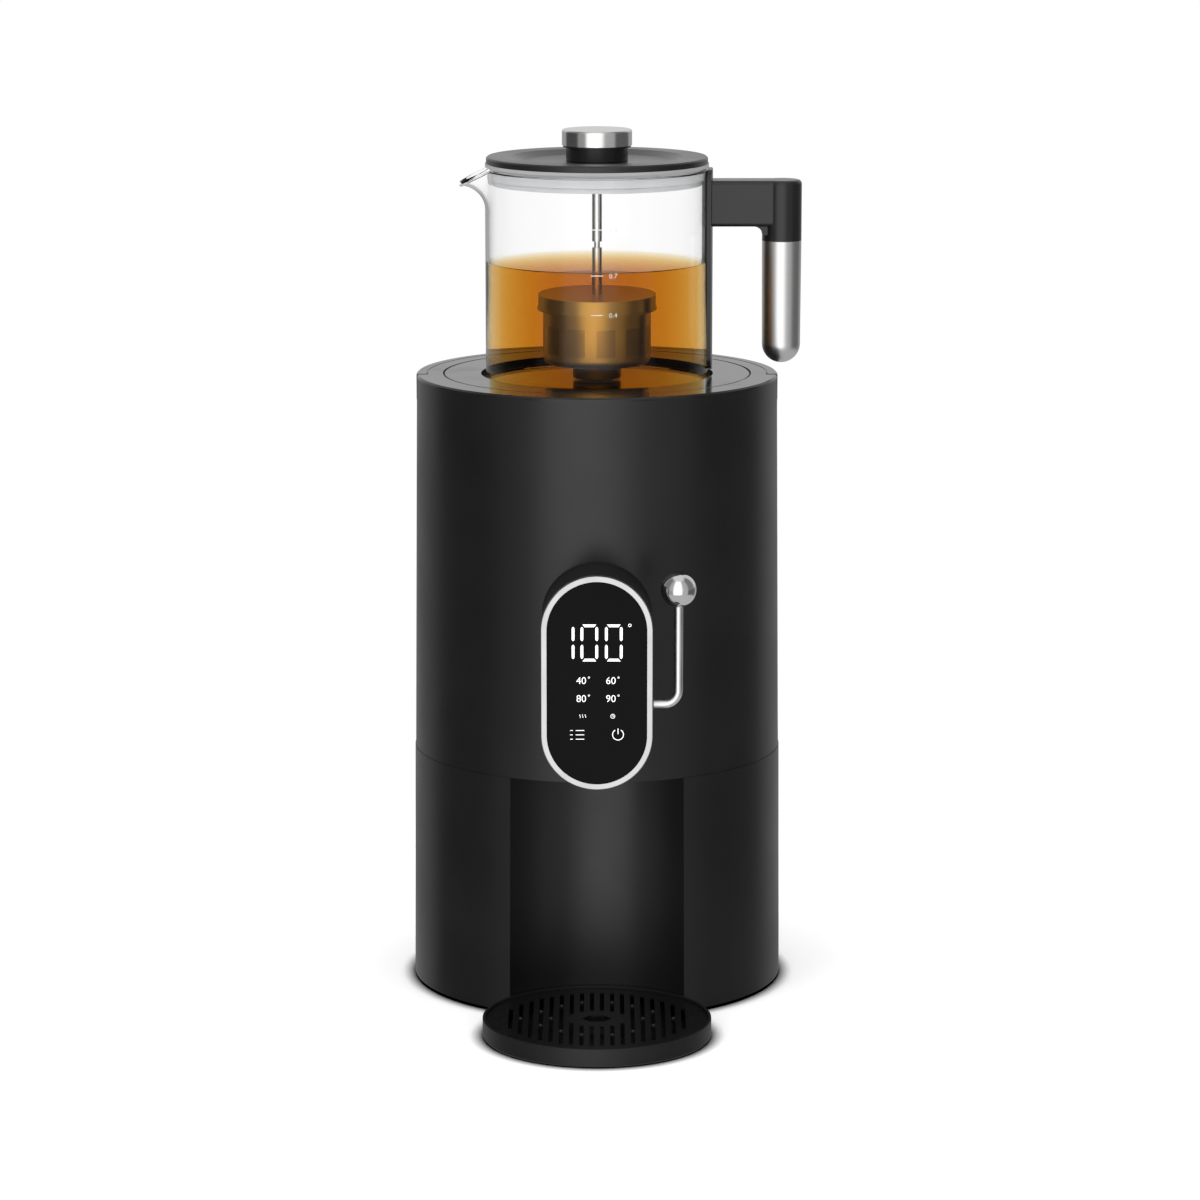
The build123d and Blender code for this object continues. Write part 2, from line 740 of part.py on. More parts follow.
def temperature_probe():
    probe = disc(PROBE_RADIUS, heater_low - PROBE_HEIGHT, heater_low, PROBE_X)
    return fillet(probe.edges().group_by(Axis.Z)[0], PROBE_RADIUS / 2)


# Tank lid and seat of the teapot

def lid_deck():
    """Round lid with a skirt under its rim and the recess for the teapot in its middle."""
    opening = seat_radius - SEAT_LEDGE
    seat_outer = seat_radius + SEAT_WALL
    floor_low = seat_floor_top - SEAT_FLOOR
    skirt_inner = skirt_radius - LID_SKIRT
    skirt_low = lid_low - LID_SKIRT_DEPTH
    deck = turned(
        (opening, floor_low), (seat_outer, floor_low), (seat_outer, lid_low), (skirt_inner, lid_low),
        (skirt_inner, skirt_low), (skirt_radius, skirt_low), (skirt_radius, lid_low),
        (lid_radius, lid_low), (lid_radius, BODY_HEIGHT), (seat_radius, BODY_HEIGHT),
        (seat_radius, seat_floor_top), (opening, seat_floor_top))
    top_edges = deck.edges().filter_by(GeomType.CIRCLE).group_by(Axis.Z)[-1]
    return fillet(top_edges, LID_EDGE)


def seat_plate():
    plate = disc(seat_radius - CLEARANCE, seat_floor_top, seat_top)
    for x, y in around([turn * 360 / STEAM_HOLES for turn in range(STEAM_HOLES)], STEAM_HOLE_CIRCLE):
        plate -= disc(STEAM_HOLE_RADIUS, seat_floor_top - PAST, seat_top + PAST, x, y)
    return plate


def lid_gasket():
    return ring(gasket_outer, skirt_radius, ledge_low, ledge_top)


# Head

def body_cone(stand=0.0):
    """Solid that fills the upper body, for shaping the back of the head."""
    return drafted(SEAM_HEIGHT, shell_top, upper_radius, -stand)


def head_housing():
    housing = head_slot(0, frame_back, within_shell) - body_cone()
    housing -= head_slot(HEAD_WALL, head_front, within_shell) - body_cone(HEAD_WALL)
    for x, z in head_screw_places():
        housing += along_y(HEAD_BOSS_RADIUS, head_boss_front, within_shell, x, z) - body_cone()
        housing -= along_y(SCREW_RADIUS, head_boss_front + BLIND_END, within_shell, x, z)
    housing -= head_window()
    housing -= disc(NOZZLE_RADIUS + CLEARANCE, head_bottom - PAST, valve_seat, y=valve_y)
    return housing - along_x(BUSH_RADIUS, head_inner_half - PAST, HEAD_WIDTH / 2 + PAST, rod_y, rod_height)


def head_frame():
    frame = head_slot(0, head_front, frame_back)
    frame = fillet(frame.faces().sort_by(Axis.Y)[0].edges(), FRAME_EDGE)
    frame -= head_slot(FRAME_WIDTH, head_front - PAST, panel_back)
    return frame - head_slot(FRAME_WIDTH + FRAME_LIP, panel_back - PAST, frame_back + PAST)


def display_panel():
    return head_slot(FRAME_WIDTH, panel_front, panel_back)


def digit_display():
    half = DIGITS_WIDTH / 2
    middle = head_middle + DIGITS_RISE
    heights = (middle - DIGITS_HEIGHT / 2, middle + DIGITS_HEIGHT / 2)
    return block((-half, half), (panel_back, frame_back), heights)


def display_board():
    return head_slot(HEAD_WALL + CLEARANCE, frame_back, frame_back + BOARD_THICKNESS)


def head_screws():
    """Screws that hold the head, driven from inside the upper shell."""
    screws = []
    for x, z in head_screw_places():
        inner = upper_radius(z) - BODY_WALL
        seat = -sqrt(inner**2 - (abs(x) + SCREW_HEAD)**2)
        screw = along_y(SCREW_RADIUS, head_boss_front + BLIND_END, seat, x, z)
        screws.append(screw + along_y(SCREW_HEAD, seat, seat + SCREW_HEAD_DEPTH, x, z))
    return screws


# Tap

def outlet_pipe():
    front = tank_pipe_end
    back = -tank_radius + TANK_WALL
    pipe = along_y(PIPE_RADIUS, front, back, 0, tap_level)
    return pipe - along_y(PIPE_BORE, front - PAST, back + PAST, 0, tap_level)


def outlet_hose():
    front = valve_pipe_end - HOSE_OVERLAP
    back = tank_pipe_end + HOSE_OVERLAP
    hose = along_y(hose_radius, front, back, 0, tap_level)
    return hose - along_y(PIPE_RADIUS, front - PAST, back + PAST, 0, tap_level)


def hose_clamps():
    clamps = []
    for middle in (valve_pipe_end - HOSE_OVERLAP / 2, tank_pipe_end + HOSE_OVERLAP / 2):
        front = middle - CLAMP_WIDTH / 2
        back = middle + CLAMP_WIDTH / 2
        clamp = along_y(clamp_radius, front, back, 0, tap_level)
        clamps.append(clamp - along_y(hose_radius, front - PAST, back + PAST, 0, tap_level))
    return separate(*clamps)


def valve_body():
    body = disc(VALVE_RADIUS, valve_low, valve_top, y=valve_y)
    body += along_y(PIPE_RADIUS, valve_y, valve_pipe_end, 0, tap_level)
    body -= disc(CHAMBER_RADIUS, valve_seat, valve_top + PAST, y=valve_y)
    body -= disc(OUTLET_BORE, valve_low - PAST, valve_seat + PAST, y=valve_y)
    return body - along_y(PIPE_BORE, valve_y, valve_pipe_end + PAST, 0, tap_level)


def valve_cap():
    cap = disc(VALVE_RADIUS, valve_top, cap_top, y=valve_y)
    for side in (-1, 1):
        x_range = (side * EAR_INNER, side * (EAR_INNER + EAR_THICKNESS))
        y_range = (rod_y - EAR_HALF_DEPTH, valve_y)
        cap += block(x_range, y_range, (valve_top, rod_height + EAR_HALF_DEPTH))
    cap -= along_x(ROD_RADIUS + PIN_FIT, -FAR, FAR, rod_y, rod_height)
    return cap - disc(STEM_RADIUS + PIN_FIT, valve_top - PAST, cap_top + PAST, y=valve_y)


def spout_nozzle():
    nozzle = disc(NOZZLE_RADIUS, nozzle_low, valve_low, y=valve_y)
    nozzle = chamfer(nozzle.edges().group_by(Axis.Z)[0], NOZZLE_CHAMFER)
    return nozzle - disc(OUTLET_BORE, nozzle_low - PAST, valve_low + PAST, y=valve_y)


def plunger_stem():
    collar_top = collar_low + COLLAR_THICKNESS
    stem = disc(STEM_RADIUS, stem_low, collar_top, y=valve_y)
    return stem + disc(COLLAR_RADIUS, collar_low, collar_top, y=valve_y)


def plunger_cup():
    cup = disc(CUP_RADIUS, cup_low, cup_low + CUP_HEIGHT, y=valve_y)
    return cup - disc(STEM_RADIUS, stem_low, valve_top, y=valve_y)


def valve_spring():
    low = cup_low + CUP_HEIGHT + SPRING_WIRE
    height = valve_top - CLEARANCE - SPRING_WIRE - low
    path = Helix(pitch=height / SPRING_TURNS, height=height, radius=SPRING_RADIUS)
    section = Plane(origin=path @ 0, z_dir=path % 0) * Circle(SPRING_WIRE)
    return Pos(0, valve_y, low) * sweep(section, path, is_frenet=True)


# Lever

def lever_bush():
    wall_outer = HEAD_WIDTH / 2
    bush = along_x(BUSH_RADIUS, head_inner_half - BUSH_FLANGE, wall_outer + BUSH_STAND, rod_y, rod_height)
    bush += along_x(BUSH_FLANGE_RADIUS, head_inner_half - BUSH_FLANGE, head_inner_half, rod_y, rod_height)
    return bush - along_x(ROD_RADIUS + PIN_FIT, 0, wall_outer + FAR, rod_y, rod_height)


def lever_rod():
    left = (-EAR_INNER - EAR_THICKNESS - ROD_PAST_EAR, rod_y, rod_height)
    corner = (rod_upright_x, rod_y, rod_height)
    top = (rod_upright_x, rod_y, ball_height - ROD_BITE)
    return tube((left, corner, top), ROD_RADIUS, ROD_BEND)


def lever_ball():
    ball = Pos(rod_upright_x, rod_y, ball_height) * Sphere(BALL_RADIUS)
    return ball - disc(ROD_RADIUS, ball_height - FAR, ball_height - ROD_BITE, rod_upright_x, rod_y)


def lever_cam():
    cam = along_x(CAM_RADIUS, -CAM_HALF_WIDTH, CAM_HALF_WIDTH, rod_y, rod_height)
    half = CAM_ARM_THICKNESS / 2
    for side in (-1, 1):
        x_range = (side * CAM_ARM_INNER, side * CAM_ARM_OUTER)
        cam += block(x_range, (rod_y, valve_y + CAM_ARM_PAST_STEM), (rod_height - half, rod_height + half))
    return cam - along_x(ROD_RADIUS, -FAR, FAR, rod_y, rod_height)


# Drip tray

def tray_pan():
    pan = disc(tray_radius, TRAY_LOW, TRAY_HEIGHT, y=alcove_y)
    pan = chamfer(pan.edges().group_by(Axis.Z)[0], TRAY_CHAMFER)
    inner = tray_radius - TRAY_WALL
    floor = TRAY_LOW + TRAY_FLOOR
    pan -= disc(inner, grille_low - CLEARANCE, TRAY_HEIGHT + PAST, y=alcove_y)
    pan -= disc(inner - TRAY_LEDGE_WIDTH, floor, TRAY_HEIGHT, y=alcove_y)
    half = TONGUE_WIDTH / 2
    y_range = (alcove_y + inner, alcove_y + ALCOVE_RADIUS + TONGUE_REACH)
    tongue = block((-half, half), y_range, (tongue_low, tongue_low + TONGUE_THICKNESS))
    return pan + (tongue - disc(inner, 0, TRAY_HEIGHT, y=alcove_y))


def slot_bridges(column, x):
    """Middles and widths of the bars that cross one column of the grille.

    In the odd columns they follow a cosine curve that meets the grille's middle line at its last column.
    """
    bridges = []
    if x < CENTRE_PLATE_X:
        bridges.append((0.0, 2 * CENTRE_PLATE_Y * sqrt(1 - (x / CENTRE_PLATE_X)**2)))
    elif column in (MIDDLE_BRIDGE_COLUMN, BRIDGE_CURVE_COLUMN):
        bridges.append((0.0, SLOT_BRIDGE))
    if column % 2 == 1 and column < BRIDGE_CURVE_COLUMN:
        curve_end = (BRIDGE_CURVE_COLUMN + 0.5) * SLOT_PITCH
        place = BRIDGE_CURVE_DEPTH * cos(radians(90 * x / curve_end))
        bridges += [(-place, SLOT_BRIDGE), (place, SLOT_BRIDGE)]
    return sorted(bridges)


def drip_grille():
    grille = disc(grille_radius, grille_low, grille_top, y=alcove_y)
    cutters = []
    nubs = []
    for column in range(SLOT_COLUMNS):
        offset = (column + 0.5) * SLOT_PITCH
        bridges = slot_bridges(column, offset)
        column_end = sqrt(slot_field_radius**2 - offset**2)
        starts = [-column_end] + [middle + width / 2 for middle, width in bridges]
        ends = [middle - width / 2 for middle, width in bridges] + [column_end]
        for x in (-offset, offset):
            x_range = (x - SLOT_WIDTH / 2, x + SLOT_WIDTH / 2)
            for start, end in zip(starts, ends):
                y_range = (alcove_y + start, alcove_y + end)
                cutters.append(block(x_range, y_range, (grille_low - PAST, grille_top + PAST)))
            for middle, width in bridges:
                if width == SLOT_BRIDGE:
                    nubs.append(Pos(x, alcove_y + middle, grille_top) * Sphere(NUB_RADIUS))
    half = FINGER_HOLE_WIDTH / 2
    deep = FINGER_HOLE_DEPTH / 2
    right = [(half / 2, -deep), (half, 0), (half / 2, deep)]
    left = [(-x, -y) for x, y in right]
    hexagon = make_face(Polyline(*right, *left, close=True))
    finger_hole = Plane.XY.offset(grille_low - PAST) * Pos(0, alcove_y) * hexagon
    cutters.append(extrude(finger_hole, GRILLE_THICKNESS + 2 * PAST))
    return grille - cutters + nubs


# Electrics

def inlet_block(extra=0.0):
    """Outline of the power inlet's body, grown for its hole in the housing."""
    half = INLET_WIDTH / 2 + extra
    tall = INLET_TALL / 2 + extra
    y_range = (inlet_back - INLET_DEPTH, inlet_face)
    return block((-half, half), y_range, (INLET_HEIGHT - tall, INLET_HEIGHT + tall))


def inlet_flange(extra=0.0, reach=0.0):
    """The inlet's flange in its recess, grown and carried outwards to cut that recess."""
    half = INLET_FLANGE_WIDTH / 2 + extra
    tall = INLET_FLANGE_TALL / 2 + extra
    y_range = (inlet_back, inlet_face + reach)
    return block((-half, half), y_range, (INLET_HEIGHT - tall, INLET_HEIGHT + tall))


def blade_solids():
    """Two contact blades and the earth blade above and between them."""
    floor = inlet_face - SOCKET_DEPTH
    blades = []
    for x, rise in ((-BLADE_SPACING, -BLADE_DROP), (BLADE_SPACING, -BLADE_DROP), (0, EARTH_RISE)):
        middle = INLET_HEIGHT + rise
        z_range = (middle - BLADE_TALL / 2, middle + BLADE_TALL / 2)
        x_range = (x - BLADE_WIDTH / 2, x + BLADE_WIDTH / 2)
        blades.append(block(x_range, (floor - BLADE_TAIL, floor + BLADE_LENGTH), z_range))
    return blades


def power_inlet():
    inlet = inlet_block() + inlet_flange()
    half = SOCKET_WIDTH / 2
    tall = SOCKET_TALL / 2
    y_range = (inlet_face - SOCKET_DEPTH, inlet_face + PAST)
    inlet -= block((-half, half), y_range, (INLET_HEIGHT - tall, INLET_HEIGHT + tall))
    for blade in blade_solids():
        inlet -= blade
    for side in (-1, 1):
        x = side * INLET_SCREW_X
        inlet -= along_y(SCREW_RADIUS, inlet_back - PAST, inlet_face + PAST, x, INLET_HEIGHT)
        inlet -= along_y(SCREW_HEAD, inlet_face - SCREW_HEAD_DEPTH, inlet_face + PAST, x, INLET_HEIGHT)
    return inlet


def inlet_blades():
    return separate(*blade_solids())


def inlet_screws():
    """Screws at both ends of the inlet's flange."""
    screws = []
    seat = inlet_face - SCREW_HEAD_DEPTH
    for side in (-1, 1):
        x = side * INLET_SCREW_X
        screw = along_y(SCREW_RADIUS, inlet_back - SCREW_LENGTH / 2, seat, x, INLET_HEIGHT)
        screws.append(screw + along_y(SCREW_HEAD, seat, inlet_face, x, INLET_HEIGHT))
    return screws


def board_corners():
    x = BOARD_WIDTH / 2 - BOARD_CORNER_INSET
    y = BOARD_DEPTH / 2 - BOARD_CORNER_INSET
    return [(side_x * x, BOARD_Y + side_y * y) for side_x in (-1, 1) for side_y in (-1, 1)]


def main_board():
    half = BOARD_WIDTH / 2
    deep = BOARD_DEPTH / 2
    board = block((-half, half), (BOARD_Y - deep, BOARD_Y + deep), (board_low, board_top))
    for x, y in board_corners():
        board -= disc(SCREW_RADIUS, board_low - PAST, board_top + PAST, x, y)
    return board


def board_box(width, depth, height, x, y):
    """Box standing on the board."""
    return Pos(x, y, board_top) * Box(width, depth, height, align=BASE)


def board_parts():
    """Relay, transformer, capacitor and connector standing on the board."""
    relay = board_box(RELAY_WIDTH, RELAY_DEPTH, RELAY_HEIGHT, RELAY_X, RELAY_Y)
    side = TRANSFORMER_WIDTH
    transformer = board_box(side, side, TRANSFORMER_HEIGHT, TRANSFORMER_X, TRANSFORMER_Y)
    capacitor = disc(CAPACITOR_RADIUS, board_top, board_top + CAPACITOR_HEIGHT, 0, BOARD_Y)
    connector = board_box(CONNECTOR_WIDTH, CONNECTOR_DEPTH, CONNECTOR_HEIGHT, 0, CONNECTOR_Y)
    return separate(relay, transformer, capacitor, connector)


def board_standoffs():
    posts = []
    for x, y in board_corners():
        post = disc(STANDOFF_RADIUS, base_top, board_low, x, y)
        posts.append(post - disc(SCREW_RADIUS, board_low - BOARD_SCREW_DEPTH, board_top, x, y))
    return separate(*posts)


def board_screws():
    """Screws that hold the board on its standoffs."""
    screws = []
    for x, y in board_corners():
        screw = disc(SCREW_RADIUS, board_low - BOARD_SCREW_DEPTH, board_top, x, y)
        screws.append(screw + disc(SCREW_HEAD, board_top, board_top + SCREW_HEAD_DEPTH, x, y))
    return screws


def case_screws():
    return separate(*base_screws(), *head_screws(), *inlet_screws(), *board_screws())


def heater_leads():
    """Straight leads from the board up to the ring element's terminals."""
    terminal_low = element_height - TERMINAL_LENGTH
    return [disc(LEAD_RADIUS, board_top, terminal_low, x, y) for x, y in terminal_places()]


def inlet_leads():
    """Leads from the inlet's blades back and down to the board."""
    leads = []
    blade_back = inlet_face - SOCKET_DEPTH - BLADE_TAIL
    drop_y = BOARD_Y + BOARD_DEPTH / 2 - 2 * BOARD_CORNER_INSET
    height = INLET_HEIGHT - BLADE_DROP
    for x in (-BLADE_SPACING, BLADE_SPACING):
        points = ((x, blade_back, height), (x, drop_y, height), (x, drop_y, board_top))
        leads.append(tube(points, LEAD_RADIUS, 2 * LEAD_RADIUS))
    return leads


def display_cable():
    """Cable from the board, over the deck and up inside the shell to the display."""
    over_deck = deck_top + CABLE_RADIUS + PIN_FIT
    route = (
        (CABLE_START_Y, board_top), (CABLE_START_Y, over_deck), (cable_rise_y, over_deck),
        (cable_rise_y, cable_top), (frame_back + BOARD_THICKNESS, cable_top))
    return tube([(cable_x, y, z) for y, z in route], CABLE_RADIUS, CABLE_BEND)


def wiring():
    return separate(*heater_leads(), *inlet_leads(), display_cable())


# Teapot

def spout_shape(inset=0.0, past_top=0.0):
    """Tapered lip under a falling edge; the inset narrows it and lifts its underside."""
    root_x = -sqrt(POT_RADIUS**2 - PAST)
    inner_x = PAST - sqrt(pot_inner**2 - SPOUT_ROOT_HALF_WIDTH**2)
    tip = (spout_tip_x - inset, spout_tip_height + inset)
    root = (root_x + inset, spout_root_height + inset)
    bend = Line((inner_x, root[1]), root)
    under = RadiusArc(root, tip, root_x - spout_tip_x)
    tip_top = spout_tip_height + SPOUT_TIP_EDGE + past_top
    over = Polyline(tip, (tip[0], tip_top), (inner_x, pot_rim + past_top), (inner_x, root[1]))
    side = make_face(Curve() + [bend, under, over])
    wide = SPOUT_ROOT_HALF_WIDTH - inset
    narrow = SPOUT_TIP_HALF_WIDTH - inset
    plan = make_face(Polyline((inner_x, -wide), (root_x, -wide), (tip[0], -narrow), (tip[0], narrow),
                              (root_x, wide), (inner_x, wide), close=True))
    tall = extrude(Plane.XY.offset(spout_root_height - PAST) * plan, pot_rim + past_top)
    return extrude(Plane.XZ * side, POT_RADIUS, both=True) & tall


def pot_glass():
    pot = disc(POT_RADIUS, pot_low, pot_rim)
    pot = fillet(pot.edges().group_by(Axis.Z)[0], POT_FOOT_RADIUS)
    hollow = disc(pot_inner, pot_floor, pot_rim + PAST)
    hollow = fillet(hollow.edges().group_by(Axis.Z)[0], POT_FOOT_RADIUS - GLASS)
    pot += spout_shape()
    return pot - hollow - spout_shape(SPOUT_GLASS, FAR)


def handle_strap():
    """Upright strip with rounded ends, bonded to the glass on the handle's side."""
    middle = (strap_low + strap_high) / 2
    outline = RectangleRounded(2 * STRAP_HALF_WIDTH, strap_high - strap_low, STRAP_CORNER)
    strip = extrude(Plane.YZ * Pos(0, middle) * outline, grip_x)
    return ring(strap_outer, POT_RADIUS, strap_low, strap_high) & strip


def handle_arm():
    post = disc(GRIP_RADIUS, grip_top, arm_top, grip_x)
    post = fillet(post.edges().group_by(Axis.Z)[-1], ARM_EDGE)
    arm = block((0, grip_x), (-ARM_HALF_DEPTH, ARM_HALF_DEPTH), (arm_low, arm_top))
    arm = fillet(arm.edges().filter_by(Axis.X), ARM_EDGE)
    corner_x = grip_x - GRIP_RADIUS - ARM_FILLET
    half = ARM_HALF_DEPTH - ARM_EDGE
    gusset = block((corner_x, grip_x), (-half, half), (arm_low - ARM_FILLET, arm_low + ARM_EDGE))
    gusset -= along_y(ARM_FILLET, -FAR, FAR, corner_x, arm_low - ARM_FILLET)
    core = disc(CORE_RADIUS, core_low, grip_top + PAST, grip_x)
    return (arm - disc(strap_outer, arm_low - PAST, arm_top + PAST)) + post + gusset + core


def grip_sleeve():
    end = grip_low + GRIP_END_RADIUS
    tube_wall = Pos(grip_x, 0, end) * Cone(GRIP_END_RADIUS, GRIP_RADIUS, grip_top - end, align=BASE)
    sleeve = tube_wall + Pos(grip_x, 0, end) * Sphere(GRIP_END_RADIUS)
    return sleeve - disc(CORE_RADIUS, core_low, grip_top + FAR, grip_x)


# Teapot lid

def lid_cover():
    return turned(
        (GUIDE_RADIUS, cover_low), (cover_radius, cover_low), (cover_radius, cover_top - COVER_EDGE),
        (cover_radius - COVER_EDGE, cover_top), (DISH_RIM_RADIUS, cover_top), (DISH_FLOOR_RADIUS, dish_floor),
        (GUIDE_RADIUS, dish_floor))


def lid_seal():
    return ring(seal_radius, seal_inner, seal_low, cover_low)


def lid_plug():
    inner = plug_radius - PLUG_WALL
    return turned(
        (GUIDE_RADIUS, cover_low - PLUG_WEB), (inner, cover_low - PLUG_WEB), (inner, plug_low),
        (plug_radius - PLUG_STEP, plug_low), (plug_radius - PLUG_STEP, plug_step_height),
        (plug_radius, plug_step_height), (plug_radius, seal_low), (seal_inner, seal_low),
        (seal_inner, cover_low), (GUIDE_RADIUS, cover_low))


def rod_guide():
    web_low = cover_low - PLUG_WEB
    guide = disc(GUIDE_RADIUS, guide_low, dish_floor)
    guide += disc(GUIDE_FLANGE_RADIUS, web_low - GUIDE_FLANGE, web_low)
    return guide - disc(INFUSER_ROD_RADIUS + PIN_FIT, guide_low - PAST, dish_floor + PAST)


# Infuser

def infuser_rod():
    top = knob_low + KNOB_BITE
    return turned(
        (0, basket_cap_top - BASKET_CAP_PLATE), (INFUSER_ROD_RADIUS, basket_cap_top - BASKET_CAP_PLATE),
        (INFUSER_ROD_RADIUS, notch_low), (NOTCH_RADIUS, notch_low), (NOTCH_RADIUS, notch_high),
        (INFUSER_ROD_RADIUS, notch_high), (INFUSER_ROD_RADIUS, top), (0, top))


def knob_neck():
    """Moulded neck with a collar right under the cap."""
    neck = ring(NECK_RADIUS, INFUSER_ROD_RADIUS, neck_low, knob_low)
    return neck + ring(NECK_COLLAR_RADIUS, INFUSER_ROD_RADIUS, knob_low - NECK_COLLAR, knob_low)


def knob_cap():
    cap = disc(KNOB_RADIUS, knob_low, knob_top)
    cap = fillet(cap.edges().group_by(Axis.Z)[-1], KNOB_EDGE)
    return cap - disc(INFUSER_ROD_RADIUS, knob_low - PAST, knob_low + KNOB_BITE)


def basket_cap():
    plate_low = basket_cap_top - BASKET_CAP_PLATE
    wall_inner = basket_cap_radius - BASKET_CAP_WALL
    flange_low = basket_cap_low - BASKET_FLANGE
    return turned(
        (INFUSER_ROD_RADIUS, plate_low), (wall_inner, plate_low), (wall_inner, basket_cap_low),
        (BASKET_RADIUS, basket_cap_low), (BASKET_RADIUS, flange_low), (basket_flange_radius, flange_low),
        (basket_flange_radius, basket_cap_low), (basket_cap_radius, basket_cap_low),
        (basket_cap_radius, basket_cap_top), (INFUSER_ROD_RADIUS, basket_cap_top))


def infuser_basket():
    basket = disc(BASKET_RADIUS, basket_low, basket_high)
    basket = fillet(basket.edges().group_by(Axis.Z)[0], BASKET_CORNER)
    hollow = disc(BASKET_RADIUS - BASKET_WALL, basket_low + BASKET_WALL, basket_high + PAST)
    return basket - fillet(hollow.edges().group_by(Axis.Z)[0], BASKET_CORNER - BASKET_WALL)


def basket_foot():
    foot = disc(BASKET_FOOT_RADIUS, basket_foot_low, basket_low)
    return fillet(foot.edges().group_by(Axis.Z)[0], BASKET_FOOT_EDGE)


PIECES = (
    upper_shell, lower_housing, base_plate, foot_ring, deck_plate, top_ring, case_screws, bail, bail_pins,
    water_tank, insulation_sleeve, heater_disc, heating_element, thermostat, thermal_fuse, temperature_probe,
    lid_deck, seat_plate, lid_gasket, head_housing, head_frame, display_panel, digit_display, display_board,
    outlet_pipe, outlet_hose, hose_clamps, valve_body, valve_cap, spout_nozzle, plunger_stem, plunger_cup,
    valve_spring, lever_bush, lever_rod, lever_ball, lever_cam, tray_pan, drip_grille, power_inlet,
    inlet_blades, main_board, board_parts, board_standoffs, wiring, pot_glass, handle_strap, handle_arm,
    grip_sleeve, lid_cover, lid_seal, lid_plug, rod_guide, infuser_rod, knob_neck, knob_cap, basket_cap,
    infuser_basket, basket_foot)

os.makedirs("parts", exist_ok=True)
for piece in PIECES:
    export_step(piece(), "parts/" + piece.__name__ + ".step")
print(len(PIECES), "pieces")
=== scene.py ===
import bmesh
import bpy
import numpy as np
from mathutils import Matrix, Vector


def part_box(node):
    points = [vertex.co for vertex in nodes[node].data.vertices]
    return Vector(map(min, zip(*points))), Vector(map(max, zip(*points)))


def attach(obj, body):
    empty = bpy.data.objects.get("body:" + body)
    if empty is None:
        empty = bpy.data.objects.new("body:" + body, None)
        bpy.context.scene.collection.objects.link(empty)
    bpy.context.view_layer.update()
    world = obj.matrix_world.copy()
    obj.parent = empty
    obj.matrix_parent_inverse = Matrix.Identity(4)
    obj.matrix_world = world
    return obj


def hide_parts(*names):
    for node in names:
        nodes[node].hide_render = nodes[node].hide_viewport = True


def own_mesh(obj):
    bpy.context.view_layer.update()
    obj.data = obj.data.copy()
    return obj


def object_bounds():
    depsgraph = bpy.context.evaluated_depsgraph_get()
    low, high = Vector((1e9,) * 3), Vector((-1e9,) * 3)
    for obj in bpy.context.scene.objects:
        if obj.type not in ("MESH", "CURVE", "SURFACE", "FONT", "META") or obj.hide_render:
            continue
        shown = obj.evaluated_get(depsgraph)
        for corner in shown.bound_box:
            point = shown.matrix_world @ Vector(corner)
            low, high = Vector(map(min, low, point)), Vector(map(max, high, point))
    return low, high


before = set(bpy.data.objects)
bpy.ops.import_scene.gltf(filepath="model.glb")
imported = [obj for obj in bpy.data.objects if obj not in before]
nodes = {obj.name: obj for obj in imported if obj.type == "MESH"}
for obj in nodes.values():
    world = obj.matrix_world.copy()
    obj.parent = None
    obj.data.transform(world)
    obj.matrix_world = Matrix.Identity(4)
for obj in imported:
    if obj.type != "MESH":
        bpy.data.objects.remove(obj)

cad_low, cad_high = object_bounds()

# Real sizes in metres, in the frame's own axes: +Z up, tap towards -Y, origin on the body axis at the floor
MM = 0.001
WELD_DISTANCE = 0.001 * MM
CORNER_STEPS = 8
POT_RADIUS = 64.8 * MM
POT_CORNER = 3.0 * MM
GLASS = 2.0 * MM
GLASS_FLOOR = 3.0 * MM
GLASS_TURNS = 288
GLASS_ROWS = 30
RIM_STEPS = 9
LIP_ROOT_DROP = 24.6 * MM
LIP_FALL = 9.6 * MM
LIP_REACH = 16.0 * MM
LIP_HALF_ANGLE = np.radians(17.5)
LIP_POWER = 1.6
LIP_STEEPEST = 0.998
TEA_DEPTH = 68.1 * MM
TEA_OVERLAP = 0.03 * MM
TEA_TURNS = 160
MENISCUS = 1.1 * MM
MENISCUS_WIDTH = 4 * MENISCUS
MENISCUS_STEPS = 12
BASKET_RADIUS = 30.5 * MM
BASKET_WALL = 0.8 * MM
BASKET_CORNER = 4.0 * MM
CELL_SIDES = 8
HOLE_ROWS = 24
HOLE_BAND_LOW = 6.8 * MM
HOLE_SHARE = 0.27
ROW_SHARE = 0.6
FIELDS = 11
FIELD_COLUMNS = 16
FIELD_HOLES = 10
FIELD_START = 4
HOLE_COLUMNS = FIELDS * FIELD_COLUMNS
HOLE_PITCH = 2 * np.pi * BASKET_RADIUS / HOLE_COLUMNS
SPRING_WIRE = 0.4 * MM
SPRING_TURNS = 6
SPRING_STEPS = 40
SPRING_SIDES = 12

pot_low, pot_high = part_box("pot_glass")
basket_low, basket_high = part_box("infuser_basket")
head_low, head_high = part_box("head_frame")
panel_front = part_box("display_panel")[0].y
pot_bottom = pot_low.z
pot_rim = pot_high.z
tea_level = pot_bottom + GLASS_FLOOR + TEA_DEPTH
head_middle = (head_low.z + head_high.z) / 2


# Meshes from whole arrays of points

def add_piece(name, verts, faces, body, smooth=True):
    """New object from points and faces, set on a body of the frame."""
    mesh = bpy.data.meshes.new(name)
    mesh.from_pydata(np.asarray(verts).tolist(), [], faces)
    mesh.validate()
    if smooth:
        mesh.polygons.foreach_set("use_smooth", [True] * len(mesh.polygons))
    piece = bpy.data.objects.new(name, mesh)
    bpy.context.scene.collection.objects.link(piece)
    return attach(piece, body)


